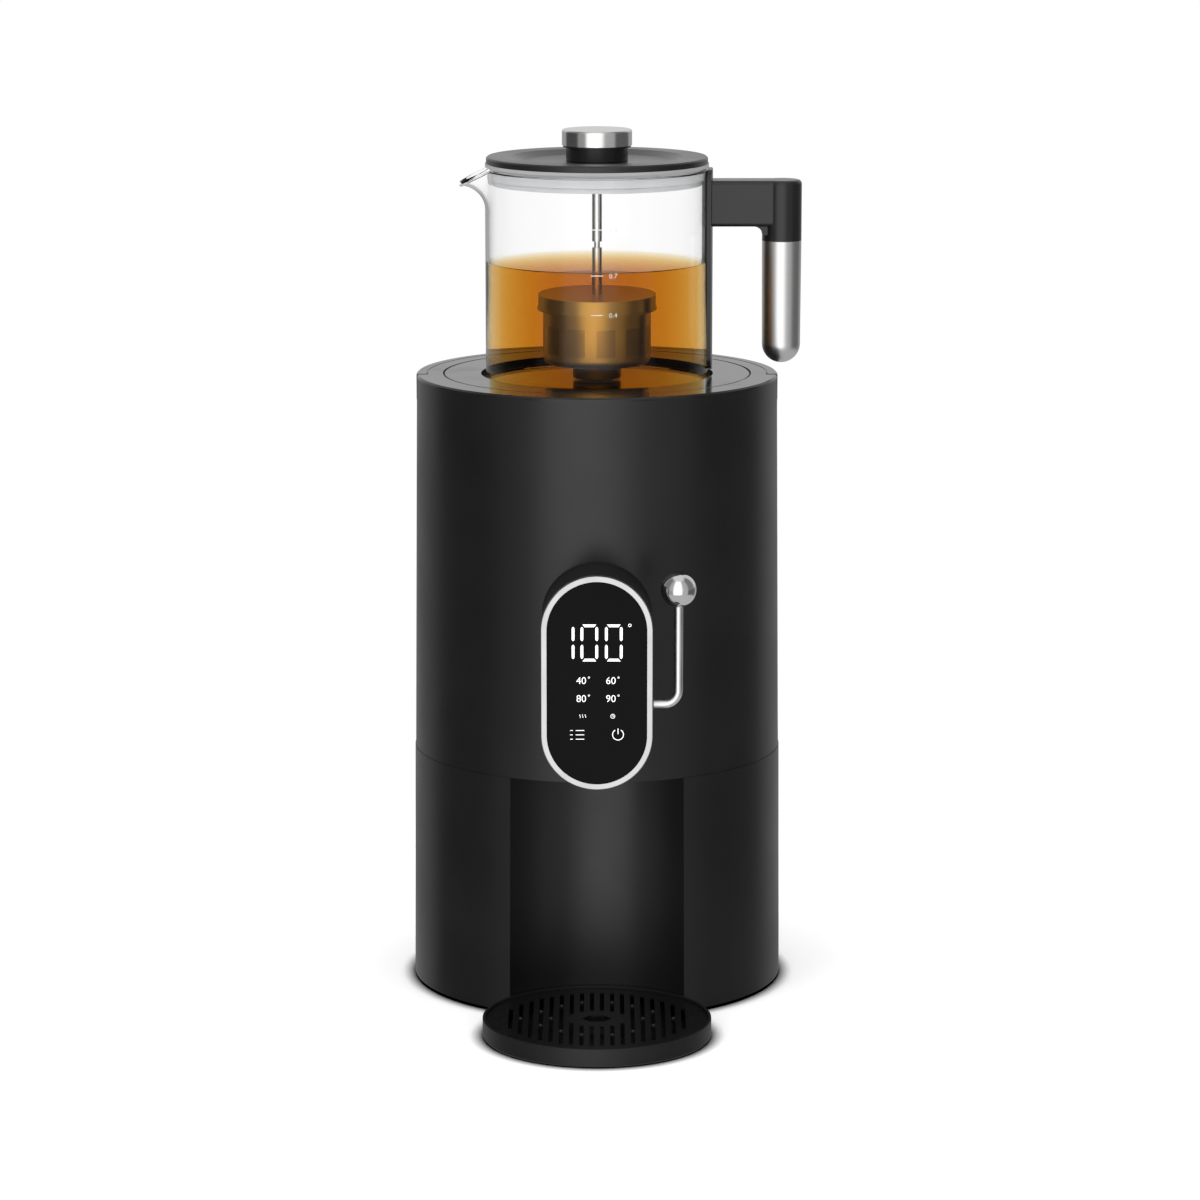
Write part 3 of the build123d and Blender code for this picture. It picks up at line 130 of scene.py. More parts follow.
def close_seams(piece):
    """Merges doubled points, as at a pole, and points every face outwards."""
    work = bmesh.new()
    work.from_mesh(piece.data)
    bmesh.ops.remove_doubles(work, verts=work.verts, dist=WELD_DISTANCE)
    bmesh.ops.dissolve_degenerate(work, edges=work.edges, dist=WELD_DISTANCE)
    bmesh.ops.recalc_face_normals(work, faces=work.faces)
    work.to_mesh(piece.data)
    work.free()
    return piece


def skin_faces(rows, columns):
    """Quads between neighbouring rows of a grid of points, whose last column joins the first."""
    index = np.arange(rows * columns).reshape(rows, columns)
    after = np.roll(index, -1, axis=1)
    quads = np.stack([index[:-1], after[:-1], after[1:], index[1:]], axis=-1)
    return quads.reshape(-1, 4)


def skin(name, rows, body):
    """Smooth closed piece from rows of points that go round it; doubled points close its ends."""
    faces = skin_faces(*rows.shape[:2]).tolist()
    return close_seams(add_piece(name, rows.reshape(-1, 3), faces, body))


def corner(centre_r, centre_z, radius, start, end):
    """Points (radius, height) on an arc in the section plane, between two angles in degrees."""
    angle = np.radians(np.linspace(start, end, CORNER_STEPS))
    return np.stack([centre_r + radius * np.cos(angle), centre_z + radius * np.sin(angle)], axis=-1)


def turned(section, angle):
    """Surface of revolution: each (r, z) of the section goes round the axis as (r cos a, r sin a, z)."""
    r, z = section[:, :1], section[:, 1:]
    return np.stack([r * np.cos(angle), r * np.sin(angle), z + 0 * angle], axis=-1)


def unit(vectors):
    """Vectors of length one in the same directions."""
    return vectors / np.linalg.norm(vectors, axis=-1, keepdims=True)


# Teapot glass with its pouring lip

def lip_share(angle):
    """How far the lip reaches at an angle: a bell (1 - (a / half angle)^2)^power about the left side."""
    off = np.abs(angle - np.pi) / LIP_HALF_ANGLE
    return np.clip(1 - off ** 2, 0, 1) ** LIP_POWER


def lip_wall(angle):
    """Outer wall at the radius R + reach share(a) (1 - sqrt(1 - t^2)), from the lip's root to the rim.

    The height goes from the root to a rim that falls with the same share, in proportion to t. The value t
    follows a quarter of a sine wave, so that rows lie closer together where the lip bends most.
    """
    share = lip_share(angle)
    root = pot_rim - LIP_ROOT_DROP
    rim = pot_rim - GLASS / 2 - LIP_FALL * share
    t = np.sin(np.linspace(0, np.pi / 2, GLASS_ROWS))[:, None]
    radius = POT_RADIUS + LIP_REACH * share * (1 - np.sqrt(1 - np.minimum(t, LIP_STEEPEST) ** 2))
    height = root + (rim - root) * t
    return np.stack([radius * np.cos(angle), radius * np.sin(angle), height], axis=-1)


def teapot_glass():
    """Glass round the tea: the outer wall, an inner wall, and corners that lead to a thicker floor.

    The inner wall is the outer one moved inwards along its own normal by the glass. A half round joins them:
    middle + cos(b) half + sin(b) upwards, for b from 0 to pi.
    """
    angle = np.linspace(0, 2 * np.pi, GLASS_TURNS, endpoint=False)
    wall = lip_wall(angle)
    around = np.roll(wall, -1, axis=1) - np.roll(wall, 1, axis=1)
    normal = unit(np.cross(around, np.gradient(wall, axis=0)))
    inner_wall = wall - normal * GLASS
    edge = np.linspace(0, np.pi, RIM_STEPS)[1:-1, None, None]
    middle = (wall[-1] + inner_wall[-1]) / 2
    half = (wall[-1] - inner_wall[-1]) / 2
    upwards = -GLASS / 2 * unit(np.cross(normal[-1], around[-1]))
    rounded = middle + np.cos(edge) * half + np.sin(edge) * upwards
    outer_corner = corner(POT_RADIUS - POT_CORNER, pot_bottom + POT_CORNER, POT_CORNER, -90, 0)
    small = POT_CORNER - GLASS
    inner_floor = pot_bottom + GLASS_FLOOR
    inner_corner = corner(POT_RADIUS - GLASS - small, inner_floor + small, small, 0, -90)
    outside = np.concatenate([[[0, pot_bottom]], [[POT_RADIUS / 2, pot_bottom]], outer_corner])
    inside = np.concatenate([inner_corner, [[POT_RADIUS / 2, inner_floor]], [[0, inner_floor]]])
    rows = [turned(outside, angle), wall, rounded, inner_wall[::-1], turned(inside, angle)]
    piece = skin("teapot_glass", np.concatenate(rows), "teapot")
    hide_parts("pot_glass")
    return piece


def tea():
    """Body of revolution that fills the glass up to its level, with a meniscus that climbs the wall.

    It reaches a hair into the glass, so that light goes from one into the other without air between them.
    The meniscus is height (1 - s)^3 over its width, for s from the wall inwards.
    """
    inner = POT_RADIUS - GLASS + TEA_OVERLAP
    small = POT_CORNER - GLASS + TEA_OVERLAP
    low = pot_bottom + GLASS_FLOOR - TEA_OVERLAP
    foot = corner(inner - small, low + small, small, -90, 0)
    s = np.linspace(0, 1, MENISCUS_STEPS)
    climb = np.stack([inner - MENISCUS_WIDTH * s, tea_level + MENISCUS * (1 - s) ** 3], axis=-1)
    below = [[0, low], [inner / 2, low]]
    above = [[inner / 2, tea_level], [0, tea_level]]
    angle = np.linspace(0, 2 * np.pi, TEA_TURNS, endpoint=False)
    piece = skin("tea", turned(np.concatenate([below, foot, climb, above]), angle), "teapot")
    return piece


# Infuser basket

def hole_cells():
    """Plane pattern of staggered round holes, a cell of eight quads each, as (u, v) in units of the pitch.

    A cell's outer points are its corners and the middles of its sides, so that rows half a pitch apart meet.
    The third value says which cells are pierced: those of upright fields with plain strips between them.
    """
    turn = np.radians((np.arange(CELL_SIDES) + 1) * 360 / CELL_SIDES)
    side = np.stack([np.sign(np.round(np.cos(turn), 6)), np.sign(np.round(np.sin(turn), 6))], axis=-1) / 2
    side = side * [1, ROW_SHARE]
    hole = HOLE_SHARE * np.stack([np.cos(turn), np.sin(turn)], axis=-1)
    row, column = np.mgrid[0:HOLE_ROWS, 0:HOLE_COLUMNS]
    centre = np.stack([column + 0.5 * (row % 2), (row + 0.5) * ROW_SHARE], axis=-1).reshape(-1, 1, 2)
    pierced = (column - FIELD_START) % FIELD_COLUMNS < FIELD_HOLES
    return centre + side, centre + hole, pierced.ravel()


def rolled(pattern, radius):
    """Pattern points on a cylinder: u becomes the angle and v the height above the foot of the band."""
    angle = pattern[..., 0] * 2 * np.pi / HOLE_COLUMNS
    height = basket_low.z + HOLE_BAND_LOW + pattern[..., 1] * HOLE_PITCH
    return np.stack([radius * np.cos(angle), radius * np.sin(angle), height], axis=-1)


def pierced_band():
    """Points and faces of the band of holes, rolled onto the outside and the inside of the wall.

    A cell with a hole is three rings of quads: outside, through the wall and inside. A cell without one is
    one face outside and one inside.
    """
    sides, holes, pierced = hole_cells()
    inner = BASKET_RADIUS - BASKET_WALL
    outer_sides, inner_sides = rolled(sides, BASKET_RADIUS), rolled(sides, inner)
    layers = [outer_sides, rolled(holes, BASKET_RADIUS), rolled(holes, inner), inner_sides]
    layers = np.stack(layers, axis=1)[pierced]
    index = np.arange(layers.size // 3).reshape(-1, 4, CELL_SIDES)
    after = np.roll(index, -1, axis=2)
    quads = [[index[:, k], index[:, k + 1], after[:, k + 1], after[:, k]] for k in range(3)]
    cells = np.concatenate([np.stack(quad, axis=-1) for quad in quads], axis=1).reshape(-1, 4)
    plain = np.concatenate([outer_sides[~pierced], inner_sides[~pierced]])
    plates = np.arange(plain.size // 3).reshape(-1, CELL_SIDES) + index.size
    points = np.concatenate([layers.reshape(-1, 3), plain.reshape(-1, 3)])
    return points, cells.tolist() + plates.tolist()


def infuser_mesh():
    """Steel cup with a pierced wall, which plain rings carry on above and below, and a closed floor."""
    points, faces = pierced_band()
    inner = BASKET_RADIUS - BASKET_WALL
    bottom, top = basket_low.z, basket_high.z
    band_low = bottom + HOLE_BAND_LOW
    band_high = band_low + HOLE_ROWS * ROW_SHARE * HOLE_PITCH
    outer_foot = corner(BASKET_RADIUS - BASKET_CORNER, bottom + BASKET_CORNER, BASKET_CORNER, 0, -90)
    small = BASKET_CORNER - BASKET_WALL
    inner_foot = corner(inner - small, bottom + BASKET_CORNER, small, -90, 0)
    middle = [[0, bottom], [0, bottom + BASKET_WALL]]
    below = np.concatenate([[[BASKET_RADIUS, band_low]], outer_foot, middle, inner_foot, [[inner, band_low]]])
    above = np.array([[inner, band_high], [inner, top], [BASKET_RADIUS, top], [BASKET_RADIUS, band_high]])
    turns = 2 * HOLE_COLUMNS
    angle = np.arange(turns) * np.pi / HOLE_COLUMNS
    for section in (below, above):
        faces += (skin_faces(len(section), turns) + len(points)).tolist()
        points = np.concatenate([points, turned(section, angle).reshape(-1, 3)])
    piece = close_seams(add_piece("infuser_mesh", points, faces, "infuser", False))
    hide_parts("infuser_basket")
    return piece


# Return spring of the tap's valve, which the lever shortens

def return_spring():
    """Round wire on a helix: (R cos a, R sin a, low + t height) with a = 2 pi turns t.

    A circle is carried along it: wire (cos(b) outward + sin(b) across), where across is the cross product of
    the wire's direction and the outward one. The foot of the spring rides on the plunger, and the spring is
    set on the plunger's body, so it moves with it as one piece.
    """
    low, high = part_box("valve_spring")
    middle = (low + high) / 2
    radius = (high.x - low.x) / 2 - SPRING_WIRE
    start, height = low.z + SPRING_WIRE, high.z - low.z - 2 * SPRING_WIRE
    t = np.linspace(0, 1, SPRING_TURNS * SPRING_STEPS + 1)[:, None]
    a = 2 * np.pi * SPRING_TURNS * t
    outward = np.concatenate([np.cos(a), np.sin(a), 0 * a], axis=1)
    centre = np.concatenate([0 * a + middle.x, 0 * a + middle.y, start + height * t], axis=1)
    centre = centre + radius * outward
    rise = height / (2 * np.pi * SPRING_TURNS)
    along = unit(np.concatenate([-radius * np.sin(a), radius * np.cos(a), 0 * a + rise], axis=1))
    across = np.cross(along, outward)
    b = np.linspace(0, 2 * np.pi, SPRING_SIDES, endpoint=False)[None, :, None]
    rings = centre[:, None] + SPRING_WIRE * (np.cos(b) * outward[:, None] + np.sin(b) * across[:, None])
    ends = np.repeat(centre[[0, -1], None], SPRING_SIDES, axis=1)
    piece = skin("return_spring", np.concatenate([ends[:1], rings, ends[1:]]), "tap_plunger")
    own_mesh(piece)
    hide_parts("valve_spring")
    return piece


# Prints: the litre scale on the glass and the lit marks on the panel
PRINT_THICKNESS = 0.04 * MM
PRINT_GAP = 0.01 * MM
STROKE_TRIM = 0.03 * MM
TEXT_STEPS = 5
FULL_RING = (0, 359)
RING_STEPS = 28
SMALL_RING_STEPS = 16


def prism(outline):
    """Points and faces of a flat outline (x, z), as thick as the prints, towards -Y."""
    outline = np.asarray(outline, float)
    count = len(outline)
    front = np.stack([outline[:, 0], np.full(count, -PRINT_THICKNESS), outline[:, 1]], axis=-1)
    back = front + [0, PRINT_THICKNESS, 0]
    order = list(range(count))
    faces = [order, [k + count for k in reversed(order)]]
    faces += [[k, (k + 1) % count, (k + 1) % count + count, k + count] for k in order]
    return np.concatenate([front, back]), faces


def join_prisms(prisms):
    """One list of points and faces out of several."""
    points, faces, start = [], [], 0
    for verts, own in prisms:
        points.append(verts)
        faces += [[k + start for k in face] for face in own]
        start += len(verts)
    return np.concatenate(points), faces


def bar(x, z, width, height):
    """Upright rectangle about (x, z)."""
    w, h = width / 2, height / 2
    return prism([(x - w, z - h), (x + w, z - h), (x + w, z + h), (x - w, z + h)])


def arc_band(x, z, radius, width, start, end, steps=RING_STEPS):
    """Part of a flat ring about (x, z), between two angles in degrees; a whole ring stops a degree short."""
    angle = np.radians(np.linspace(start, end, steps))
    towards = np.stack([np.cos(angle), np.sin(angle)], axis=-1)
    outer = (x, z) + (radius + width / 2) * towards
    inner = (x, z) + (radius - width / 2) * towards
    return prism(np.concatenate([outer, inner[::-1]]))


def text_prism(words, x, z, size):
    """Plain digits as points and faces, standing in the XZ plane with their lower left corner at (x, z)."""
    curve = bpy.data.curves.new("digits", "FONT")
    curve.body = words
    curve.size = size
    curve.extrude = PRINT_THICKNESS / 2
    curve.offset = -STROKE_TRIM
    curve.resolution_u = TEXT_STEPS
    holder = bpy.data.objects.new("digits", curve)
    bpy.context.scene.collection.objects.link(holder)
    bpy.context.view_layer.update()
    mesh = bpy.data.meshes.new_from_object(holder)
    flat = np.zeros(len(mesh.vertices) * 3)
    mesh.vertices.foreach_get("co", flat)
    flat = flat.reshape(-1, 3)
    verts = np.stack([x + flat[:, 0], -PRINT_THICKNESS / 2 - flat[:, 2], z + flat[:, 1]], axis=-1)
    faces = [list(face.vertices) for face in mesh.polygons]
    bpy.data.objects.remove(holder)
    bpy.data.meshes.remove(mesh)
    return verts, faces


# Litre scale, with heights in metres from the bottom of the glass
LITRE_MARKS = (("1.0", 96.7 * MM), ("0.7", 70.6 * MM), ("0.4", 48.1 * MM))
LITRE_TEXT_X = 6.8 * MM
LITRE_TEXT_SIZE = 4.0 * MM
LITRE_TEXT_DROP = 0.36 * LITRE_TEXT_SIZE
TICK_LENGTH = 6.8 * MM
TICK_WIDTH = 0.5 * MM


def litre_scale():
    """Ticks and numbers bent round the glass: x becomes the angle x / R on a radius R + depth."""
    prints = []
    for words, rise in LITRE_MARKS:
        prints.append(bar(0, rise, TICK_LENGTH, TICK_WIDTH))
        prints.append(text_prism(words, LITRE_TEXT_X, rise - LITRE_TEXT_DROP, LITRE_TEXT_SIZE))
    verts, faces = join_prisms(prints)
    angle = verts[:, 0] / POT_RADIUS
    radius = POT_RADIUS + PRINT_GAP - verts[:, 1]
    bent = np.stack([radius * np.sin(angle), -radius * np.cos(angle), pot_bottom + verts[:, 2]], axis=-1)
    piece = close_seams(add_piece("litre_scale", bent, faces, "teapot", False))
    return piece


# Panel marks, in metres from the middle of the head; tips, cuts and insets are shares of a segment's width
SEGMENT = 1.55 * MM
SEGMENT_GAP = 0.55 * MM
UPRIGHT_TIP = 0.35
UPRIGHT_CUT = 0.55
UPRIGHT_INSET = 0.95
LEVEL_CUT = 0.8
LEVEL_INSET = 0.68
DIGIT_TOP = 33.5 * MM
DIGIT_HEIGHT = 20.95 * MM
DIGIT_WIDTH = 9.8 * MM
DIGIT_LEFTS = (-22.25 * MM, -9.1 * MM, 4.5 * MM)
READING_RING = (18.3 * MM, 33.0 * MM, 0.75 * MM, 0.36 * MM)
SET_COLUMNS = (-11.55 * MM, 4.95 * MM)
SET_ROWS = (("40", "60", -0.3 * MM), ("80", "90", -10.55 * MM))
SET_SIZE = 5.7 * MM
SET_RING_SHIFT = (7.1 * MM, 3.65 * MM)
SET_RING_SIZE = (0.42 * MM, 0.26 * MM)
HEAT_PLACE = (-7.9 * MM, -18.6 * MM)
CLOCK_PLACE = (8.9 * MM, -18.7 * MM)
LIST_PLACE = (-14.15 * MM, -26.83 * MM)
POWER_PLACE = (11.8 * MM, -29.2 * MM)


def upright_segment(x, low, high):
    """Upright bar of a digit with both ends cut to a blunt point."""
    w, tip, cut = SEGMENT / 2, SEGMENT / 2 * UPRIGHT_TIP, SEGMENT * UPRIGHT_CUT
    return prism([(x - tip, low), (x + tip, low), (x + w, low + cut), (x + w, high - cut),
                  (x + tip, high), (x - tip, high), (x - w, high - cut), (x - w, low + cut)])


def level_segment(left, right, z, inwards):
    """Level bar of a digit that narrows towards the inside of the digit."""
    w, cut = SEGMENT / 2, SEGMENT * LEVEL_CUT
    outline = [(left, z - inwards * w), (right, z - inwards * w), (right - cut, z + inwards * w),
               (left + cut, z + inwards * w)]
    return prism(outline if inwards > 0 else outline[::-1])


def seven_segment(left, sides):
    """Bars of one digit: the uprights on the named sides, and the level bars where both sides are lit."""
    top, low = DIGIT_TOP, DIGIT_TOP - DIGIT_HEIGHT
    middle = (top + low) / 2
    bars = []
    for side in sides:
        x = left + (SEGMENT / 2 if side < 0 else DIGIT_WIDTH - SEGMENT / 2)
        inset = SEGMENT * UPRIGHT_INSET
        bars.append(upright_segment(x, middle + 2 * SEGMENT_GAP, top - inset))
        bars.append(upright_segment(x, low + inset, middle - 2 * SEGMENT_GAP))
    if len(sides) == 2:
        inset = SEGMENT * LEVEL_INSET
        bars.append(level_segment(left + inset, left + DIGIT_WIDTH - inset, top - SEGMENT / 2, -1))
        bars.append(level_segment(left + inset, left + DIGIT_WIDTH - inset, low + SEGMENT / 2, 1))
    return bars


def set_temperatures():
    """Four numbers in two rows, each with a small ring after it."""
    marks = []
    for *row, z in SET_ROWS:
        for words, x in zip(row, SET_COLUMNS):
            marks.append(text_prism(words, x, z, SET_SIZE))
            place = (x + SET_RING_SHIFT[0], z + SET_RING_SHIFT[1])
            marks.append(arc_band(*place, *SET_RING_SIZE, *FULL_RING, SMALL_RING_STEPS))
    return marks


def heat_sign(x, z):
    """Three upright waves side by side about (x, z), each of two arcs that bend opposite ways."""
    pitch, shift, rise, radius, line = 1.5 * MM, 0.36 * MM, 0.5 * MM, 0.55 * MM, 0.3 * MM
    open_right, open_left, steps = (130, 230), (-50, 50), 10
    marks = []
    for middle in (x - pitch, x, x + pitch):
        marks.append(arc_band(middle + shift, z + rise, radius, line, *open_right, steps))
        marks.append(arc_band(middle - shift, z - rise, radius, line, *open_left, steps))
    return marks


def clock_sign(x, z):
    """Ring about (x, z) with an upright and a level hand."""
    radius, line, hand, upright, level = 1.15 * MM, 0.3 * MM, 0.26 * MM, 0.9 * MM, 0.7 * MM
    rise, shift, drop = 0.35 * MM, 0.3 * MM, 0.05 * MM
    return [arc_band(x, z, radius, line, *FULL_RING),
            bar(x, z + rise, hand, upright),
            bar(x + shift, z - drop, level, hand)]


def list_sign(x, z):
    """Three rows downwards from z, each of a dash about x and a line beside it."""
    pitch, shift, dash, length, line = 2.48 * MM, 4.71 * MM, 1.45 * MM, 4.75 * MM, 0.4 * MM
    marks = []
    for k in range(3):
        marks.append(bar(x, z - pitch * k, dash, line))
        marks.append(bar(x + shift, z - pitch * k, length, line))
    return marks


def power_sign(x, z):
    """Ring about (x, z) that is open at the top, with an upright bar in the gap."""
    radius, line, length, rise = 3.05 * MM, 0.45 * MM, 3.2 * MM, 1.9 * MM
    start, end, steps = 122, 418, 40
    return [arc_band(x, z, radius, line, start, end, steps), bar(x, z + rise, line, length)]


def panel_marks():
    """Lit reading, set temperatures and plain signs, just in front of the panel."""
    marks = seven_segment(DIGIT_LEFTS[0], (1,))
    for left in DIGIT_LEFTS[1:]:
        marks += seven_segment(left, (-1, 1))
    marks.append(arc_band(*READING_RING, *FULL_RING))
    marks += set_temperatures()
    marks += heat_sign(*HEAT_PLACE)
    marks += clock_sign(*CLOCK_PLACE)
    marks += list_sign(*LIST_PLACE)
    marks += power_sign(*POWER_PLACE)
    verts, faces = join_prisms(marks)
    verts = verts + [0, panel_front - PRINT_GAP, head_middle]
    piece = close_seams(add_piece("panel_marks", verts, faces, "housing", False))
    return piece


# Short ways to make nodes

def feed(tree, value, socket):
    """Links an output into a socket, or sets the socket where the value is a number or a colour."""
    if isinstance(value, bpy.types.NodeSocket):
        tree.links.new(value, socket)
    else:
        socket.default_value = value


def object_place(tree):
    """Place on the object, in its own axes in metres."""
    return tree.nodes.new("ShaderNodeTexCoord").outputs["Object"]


def math_node(tree, operation, first, second):
    """Math node on two outputs or numbers; returns its output."""
    node = tree.nodes.new("ShaderNodeMath")
    node.operation = operation
    feed(tree, first, node.inputs[0])
    feed(tree, second, node.inputs[1])
    return node.outputs[0]


def noise_node(tree, vector, scale, detail, roughness):
    """Noise read at a vector, from 0 to 1; returns its output."""
    node = tree.nodes.new("ShaderNodeTexNoise")
    node.inputs["Detail"].default_value = detail
    node.inputs["Roughness"].default_value = roughness
    feed(tree, vector, node.inputs["Vector"])
    feed(tree, scale, node.inputs["Scale"])
    return node.outputs["Fac"]


def map_range(tree, value, start, end, low=0.0, high=1.0, smooth=False):
    """Value carried from the range start to end over to the range low to high; returns its output."""
    node = tree.nodes.new("ShaderNodeMapRange")
    if smooth:
        node.interpolation_type = "SMOOTHSTEP"
    node.inputs["From Min"].default_value = start
    node.inputs["From Max"].default_value = end
    node.inputs["To Min"].default_value = low
    node.inputs["To Max"].default_value = high
    feed(tree, value, node.inputs["Value"])
    return node.outputs[0]


def mix_shaders(tree, share, first, second):
    """Mix of two shaders; returns its output."""
    node = tree.nodes.new("ShaderNodeMixShader")
    for value, socket in zip((share, first, second), node.inputs):
        feed(tree, value, socket)
    return node.outputs[0]


def blend_colours(tree, share, first, second):
    """Mix of two colours; returns its output."""
    node = tree.nodes.new("ShaderNodeMix")
    node.data_type = "RGBA"
    feed(tree, share, node.inputs["Factor"])
    feed(tree, first, node.inputs[6])
    feed(tree, second, node.inputs[7])
    return node.outputs[2]


# Finishes that more than one material shares, as node groups of values only
SMEAR_START = 0.47


def new_group(name, inputs, outputs):
    """Empty node group with named sockets: inputs are (name, default) numbers."""
    group = bpy.data.node_groups.new(name, "ShaderNodeTree")
    for label, default in inputs:
        socket = group.interface.new_socket(label, in_out="INPUT", socket_type="NodeSocketFloat")
        socket.default_value = default
    for label in outputs:
        group.interface.new_socket(label, in_out="OUTPUT", socket_type="NodeSocketFloat")
    return group, group.nodes.new("NodeGroupInput"), group.nodes.new("NodeGroupOutput")


def make_moulded_grain():
    """Spark-eroded mould texture: fine noise as height, and a broad cloud as an uneven sheen."""
    group, given, out = new_group("moulded_grain", [("Grain", 2600.0), ("Cloud", 14.0)], ["Height", "Cloud"])
    place = object_place(group)
    fine = noise_node(group, place, given.outputs["Grain"], 2.0, 0.6)
    cloud = noise_node(group, place, given.outputs["Cloud"], 3.0, 0.55)
    group.links.new(fine, out.inputs["Height"])
    group.links.new(cloud, out.inputs["Cloud"])
    return group


def make_turned_lines():
    """Fine lines left by turning or brushing round an upright axis at (Centre X, Centre Y).

    The noise is read at (radius, height, a little of the angle), so its streaks run round the axis.
    """
    sockets = [("Centre X", 0.0), ("Centre Y", 0.0), ("Lines", 2600.0), ("Length", 3.0)]
    group, given, out = new_group("turned_lines", sockets, ["Height", "Tone"])
    split = group.nodes.new("ShaderNodeSeparateXYZ")
    group.links.new(object_place(group), split.inputs[0])
    x = math_node(group, "SUBTRACT", split.outputs[0], given.outputs["Centre X"])
    y = math_node(group, "SUBTRACT", split.outputs[1], given.outputs["Centre Y"])
    squares = math_node(group, "ADD", math_node(group, "MULTIPLY", x, x), math_node(group, "MULTIPLY", y, y))
    radius = math_node(group, "POWER", squares, 0.5)
    angle = math_node(group, "ARCTAN2", y, x)
    join = group.nodes.new("ShaderNodeCombineXYZ")
    lines = given.outputs["Lines"]
    group.links.new(math_node(group, "MULTIPLY", radius, lines), join.inputs[0])
    group.links.new(math_node(group, "MULTIPLY", split.outputs[2], lines), join.inputs[1])
    group.links.new(math_node(group, "MULTIPLY", angle, given.outputs["Length"]), join.inputs[2])
    streak = noise_node(group, join.outputs[0], 1.0, 3.0, 0.7)
    group.links.new(streak, out.inputs["Height"])
    group.links.new(streak, out.inputs["Tone"])
    return group


def make_handling_smears():
    """Soft patches where hands and cloths have been, for gloss that isn't quite even."""
    group, given, out = new_group("handling_smears", [("Size", 30.0), ("Amount", 1.0)], ["Smear"])
    patch = noise_node(group, object_place(group), given.outputs["Size"], 4.0, 0.62)
    lifted = math_node(group, "MAXIMUM", math_node(group, "SUBTRACT", patch, SMEAR_START), 0.0)
    group.links.new(math_node(group, "MULTIPLY", lifted, given.outputs["Amount"]), out.inputs["Smear"])
    return group


GROUPS = {"grain": make_moulded_grain(), "lines": make_turned_lines(), "smears": make_handling_smears()}


# Materials; a noise lies mostly between its low and its high
NOISE_LOW = 0.3
NOISE_HIGH = 0.7
SMEAR_HIGH = 0.1


class Finish:
    """A material with its Principled shader and short ways to add to it."""

    def __init__(self, name, colour, roughness, metallic=0.0, specular=0.5, ior=1.5):
        self.material = bpy.data.materials.new(name)
        self.material.use_nodes = True
        self.tree = self.material.node_tree
        self.shader = self.tree.nodes["Principled BSDF"]
        self.output = self.tree.nodes["Material Output"]
        self.set("Base Color", (*colour, 1.0))
        self.set("Roughness", roughness)
        self.set("Metallic", metallic)
        self.set("Specular IOR Level", specular)
        self.set("IOR", ior)

    def set(self, socket, value):
        """Constant on one of the shader's own sockets."""
        self.shader.inputs[socket].default_value = value

    def group(self, key, **values):
        """Outputs of a shared finish, with its inputs set."""
        node = self.tree.nodes.new("ShaderNodeGroup")
        node.node_tree = GROUPS[key]
        for label, value in values.items():
            node.inputs[label.replace("_", " ")].default_value = value
        return node.outputs

    def gloss(self, value, low, high, start=NOISE_LOW, end=NOISE_HIGH):
        """Roughness that varies between low and high as a value goes from start to end."""
        spread = map_range(self.tree, value, start, end, low, high)
        self.tree.links.new(spread, self.shader.inputs["Roughness"])

    def tint(self, value, dark, light, start=NOISE_LOW, end=NOISE_HIGH):
        """Base colour that varies between two colours as a value goes from start to end."""
        node = self.tree.nodes.new("ShaderNodeValToRGB")
        for stop, place, colour in zip(node.color_ramp.elements, (start, end), (dark, light)):
            stop.position = place
            stop.color = (*colour, 1.0)
        self.tree.links.new(value, node.inputs[0])
        self.tree.links.new(node.outputs[0], self.shader.inputs["Base Color"])

    def bump(self, height, distance, strength):
        """Relief in the normal, as deep as the distance in metres."""
        node = self.tree.nodes.new("ShaderNodeBump")
        node.inputs["Distance"].default_value = distance
        node.inputs["Strength"].default_value = strength
        self.tree.links.new(height, node.inputs["Height"])
        self.tree.links.new(node.outputs[0], self.shader.inputs["Normal"])


def scaled(colour, factor):
    """Colour made lighter or darker."""
    return tuple(c * factor for c in colour)


def moulded(name, colour, roughness, specular=0.5, grain=2600.0):
    """Moulded plastic: grain in the normal, a cloud in the sheen and a slight cloud in the colour."""
    finish = Finish(name, colour, roughness, specular=specular)
    out = finish.group("grain", Grain=grain)
    finish.gloss(out["Cloud"], roughness - 0.05, roughness + 0.05)
    finish.tint(out["Cloud"], scaled(colour, 0.9), scaled(colour, 1.1))
    finish.bump(out["Height"], 0.02 * MM, 0.6)
    return finish.material


def polished(name, colour, roughness, specular):
    """Polished plastic: even and hard, with faint smears in its gloss."""
    finish = Finish(name, colour, roughness, specular=specular)
    smear = finish.group("smears", Size=26.0, Amount=0.35)["Smear"]
    finish.gloss(smear, roughness, roughness + 0.12, 0.0, SMEAR_HIGH)
    out = finish.group("grain", Grain=900.0, Cloud=20.0)
    finish.tint(out["Cloud"], scaled(colour, 0.92), scaled(colour, 1.08))
    finish.bump(out["Height"], 0.002 * MM, 0.4)
    return finish.material


def turned_metal(name, colour, roughness, centre=(0.0, 0.0), lines=2600.0, depth=0.004 * MM, contrast=0.1,
                 uneven=0.2):
    """Metal with fine lines round its own axis."""
    finish = Finish(name, colour, roughness, metallic=1.0)
    out = finish.group("lines", Centre_X=centre[0], Centre_Y=centre[1], Lines=lines)
    finish.tint(out["Tone"], scaled(colour, 1 - contrast), scaled(colour, 1 + contrast / 2))
    finish.gloss(out["Tone"], roughness * (1 - uneven), roughness * (1 + uneven))
    finish.bump(out["Height"], depth, 0.5)
    return finish.material


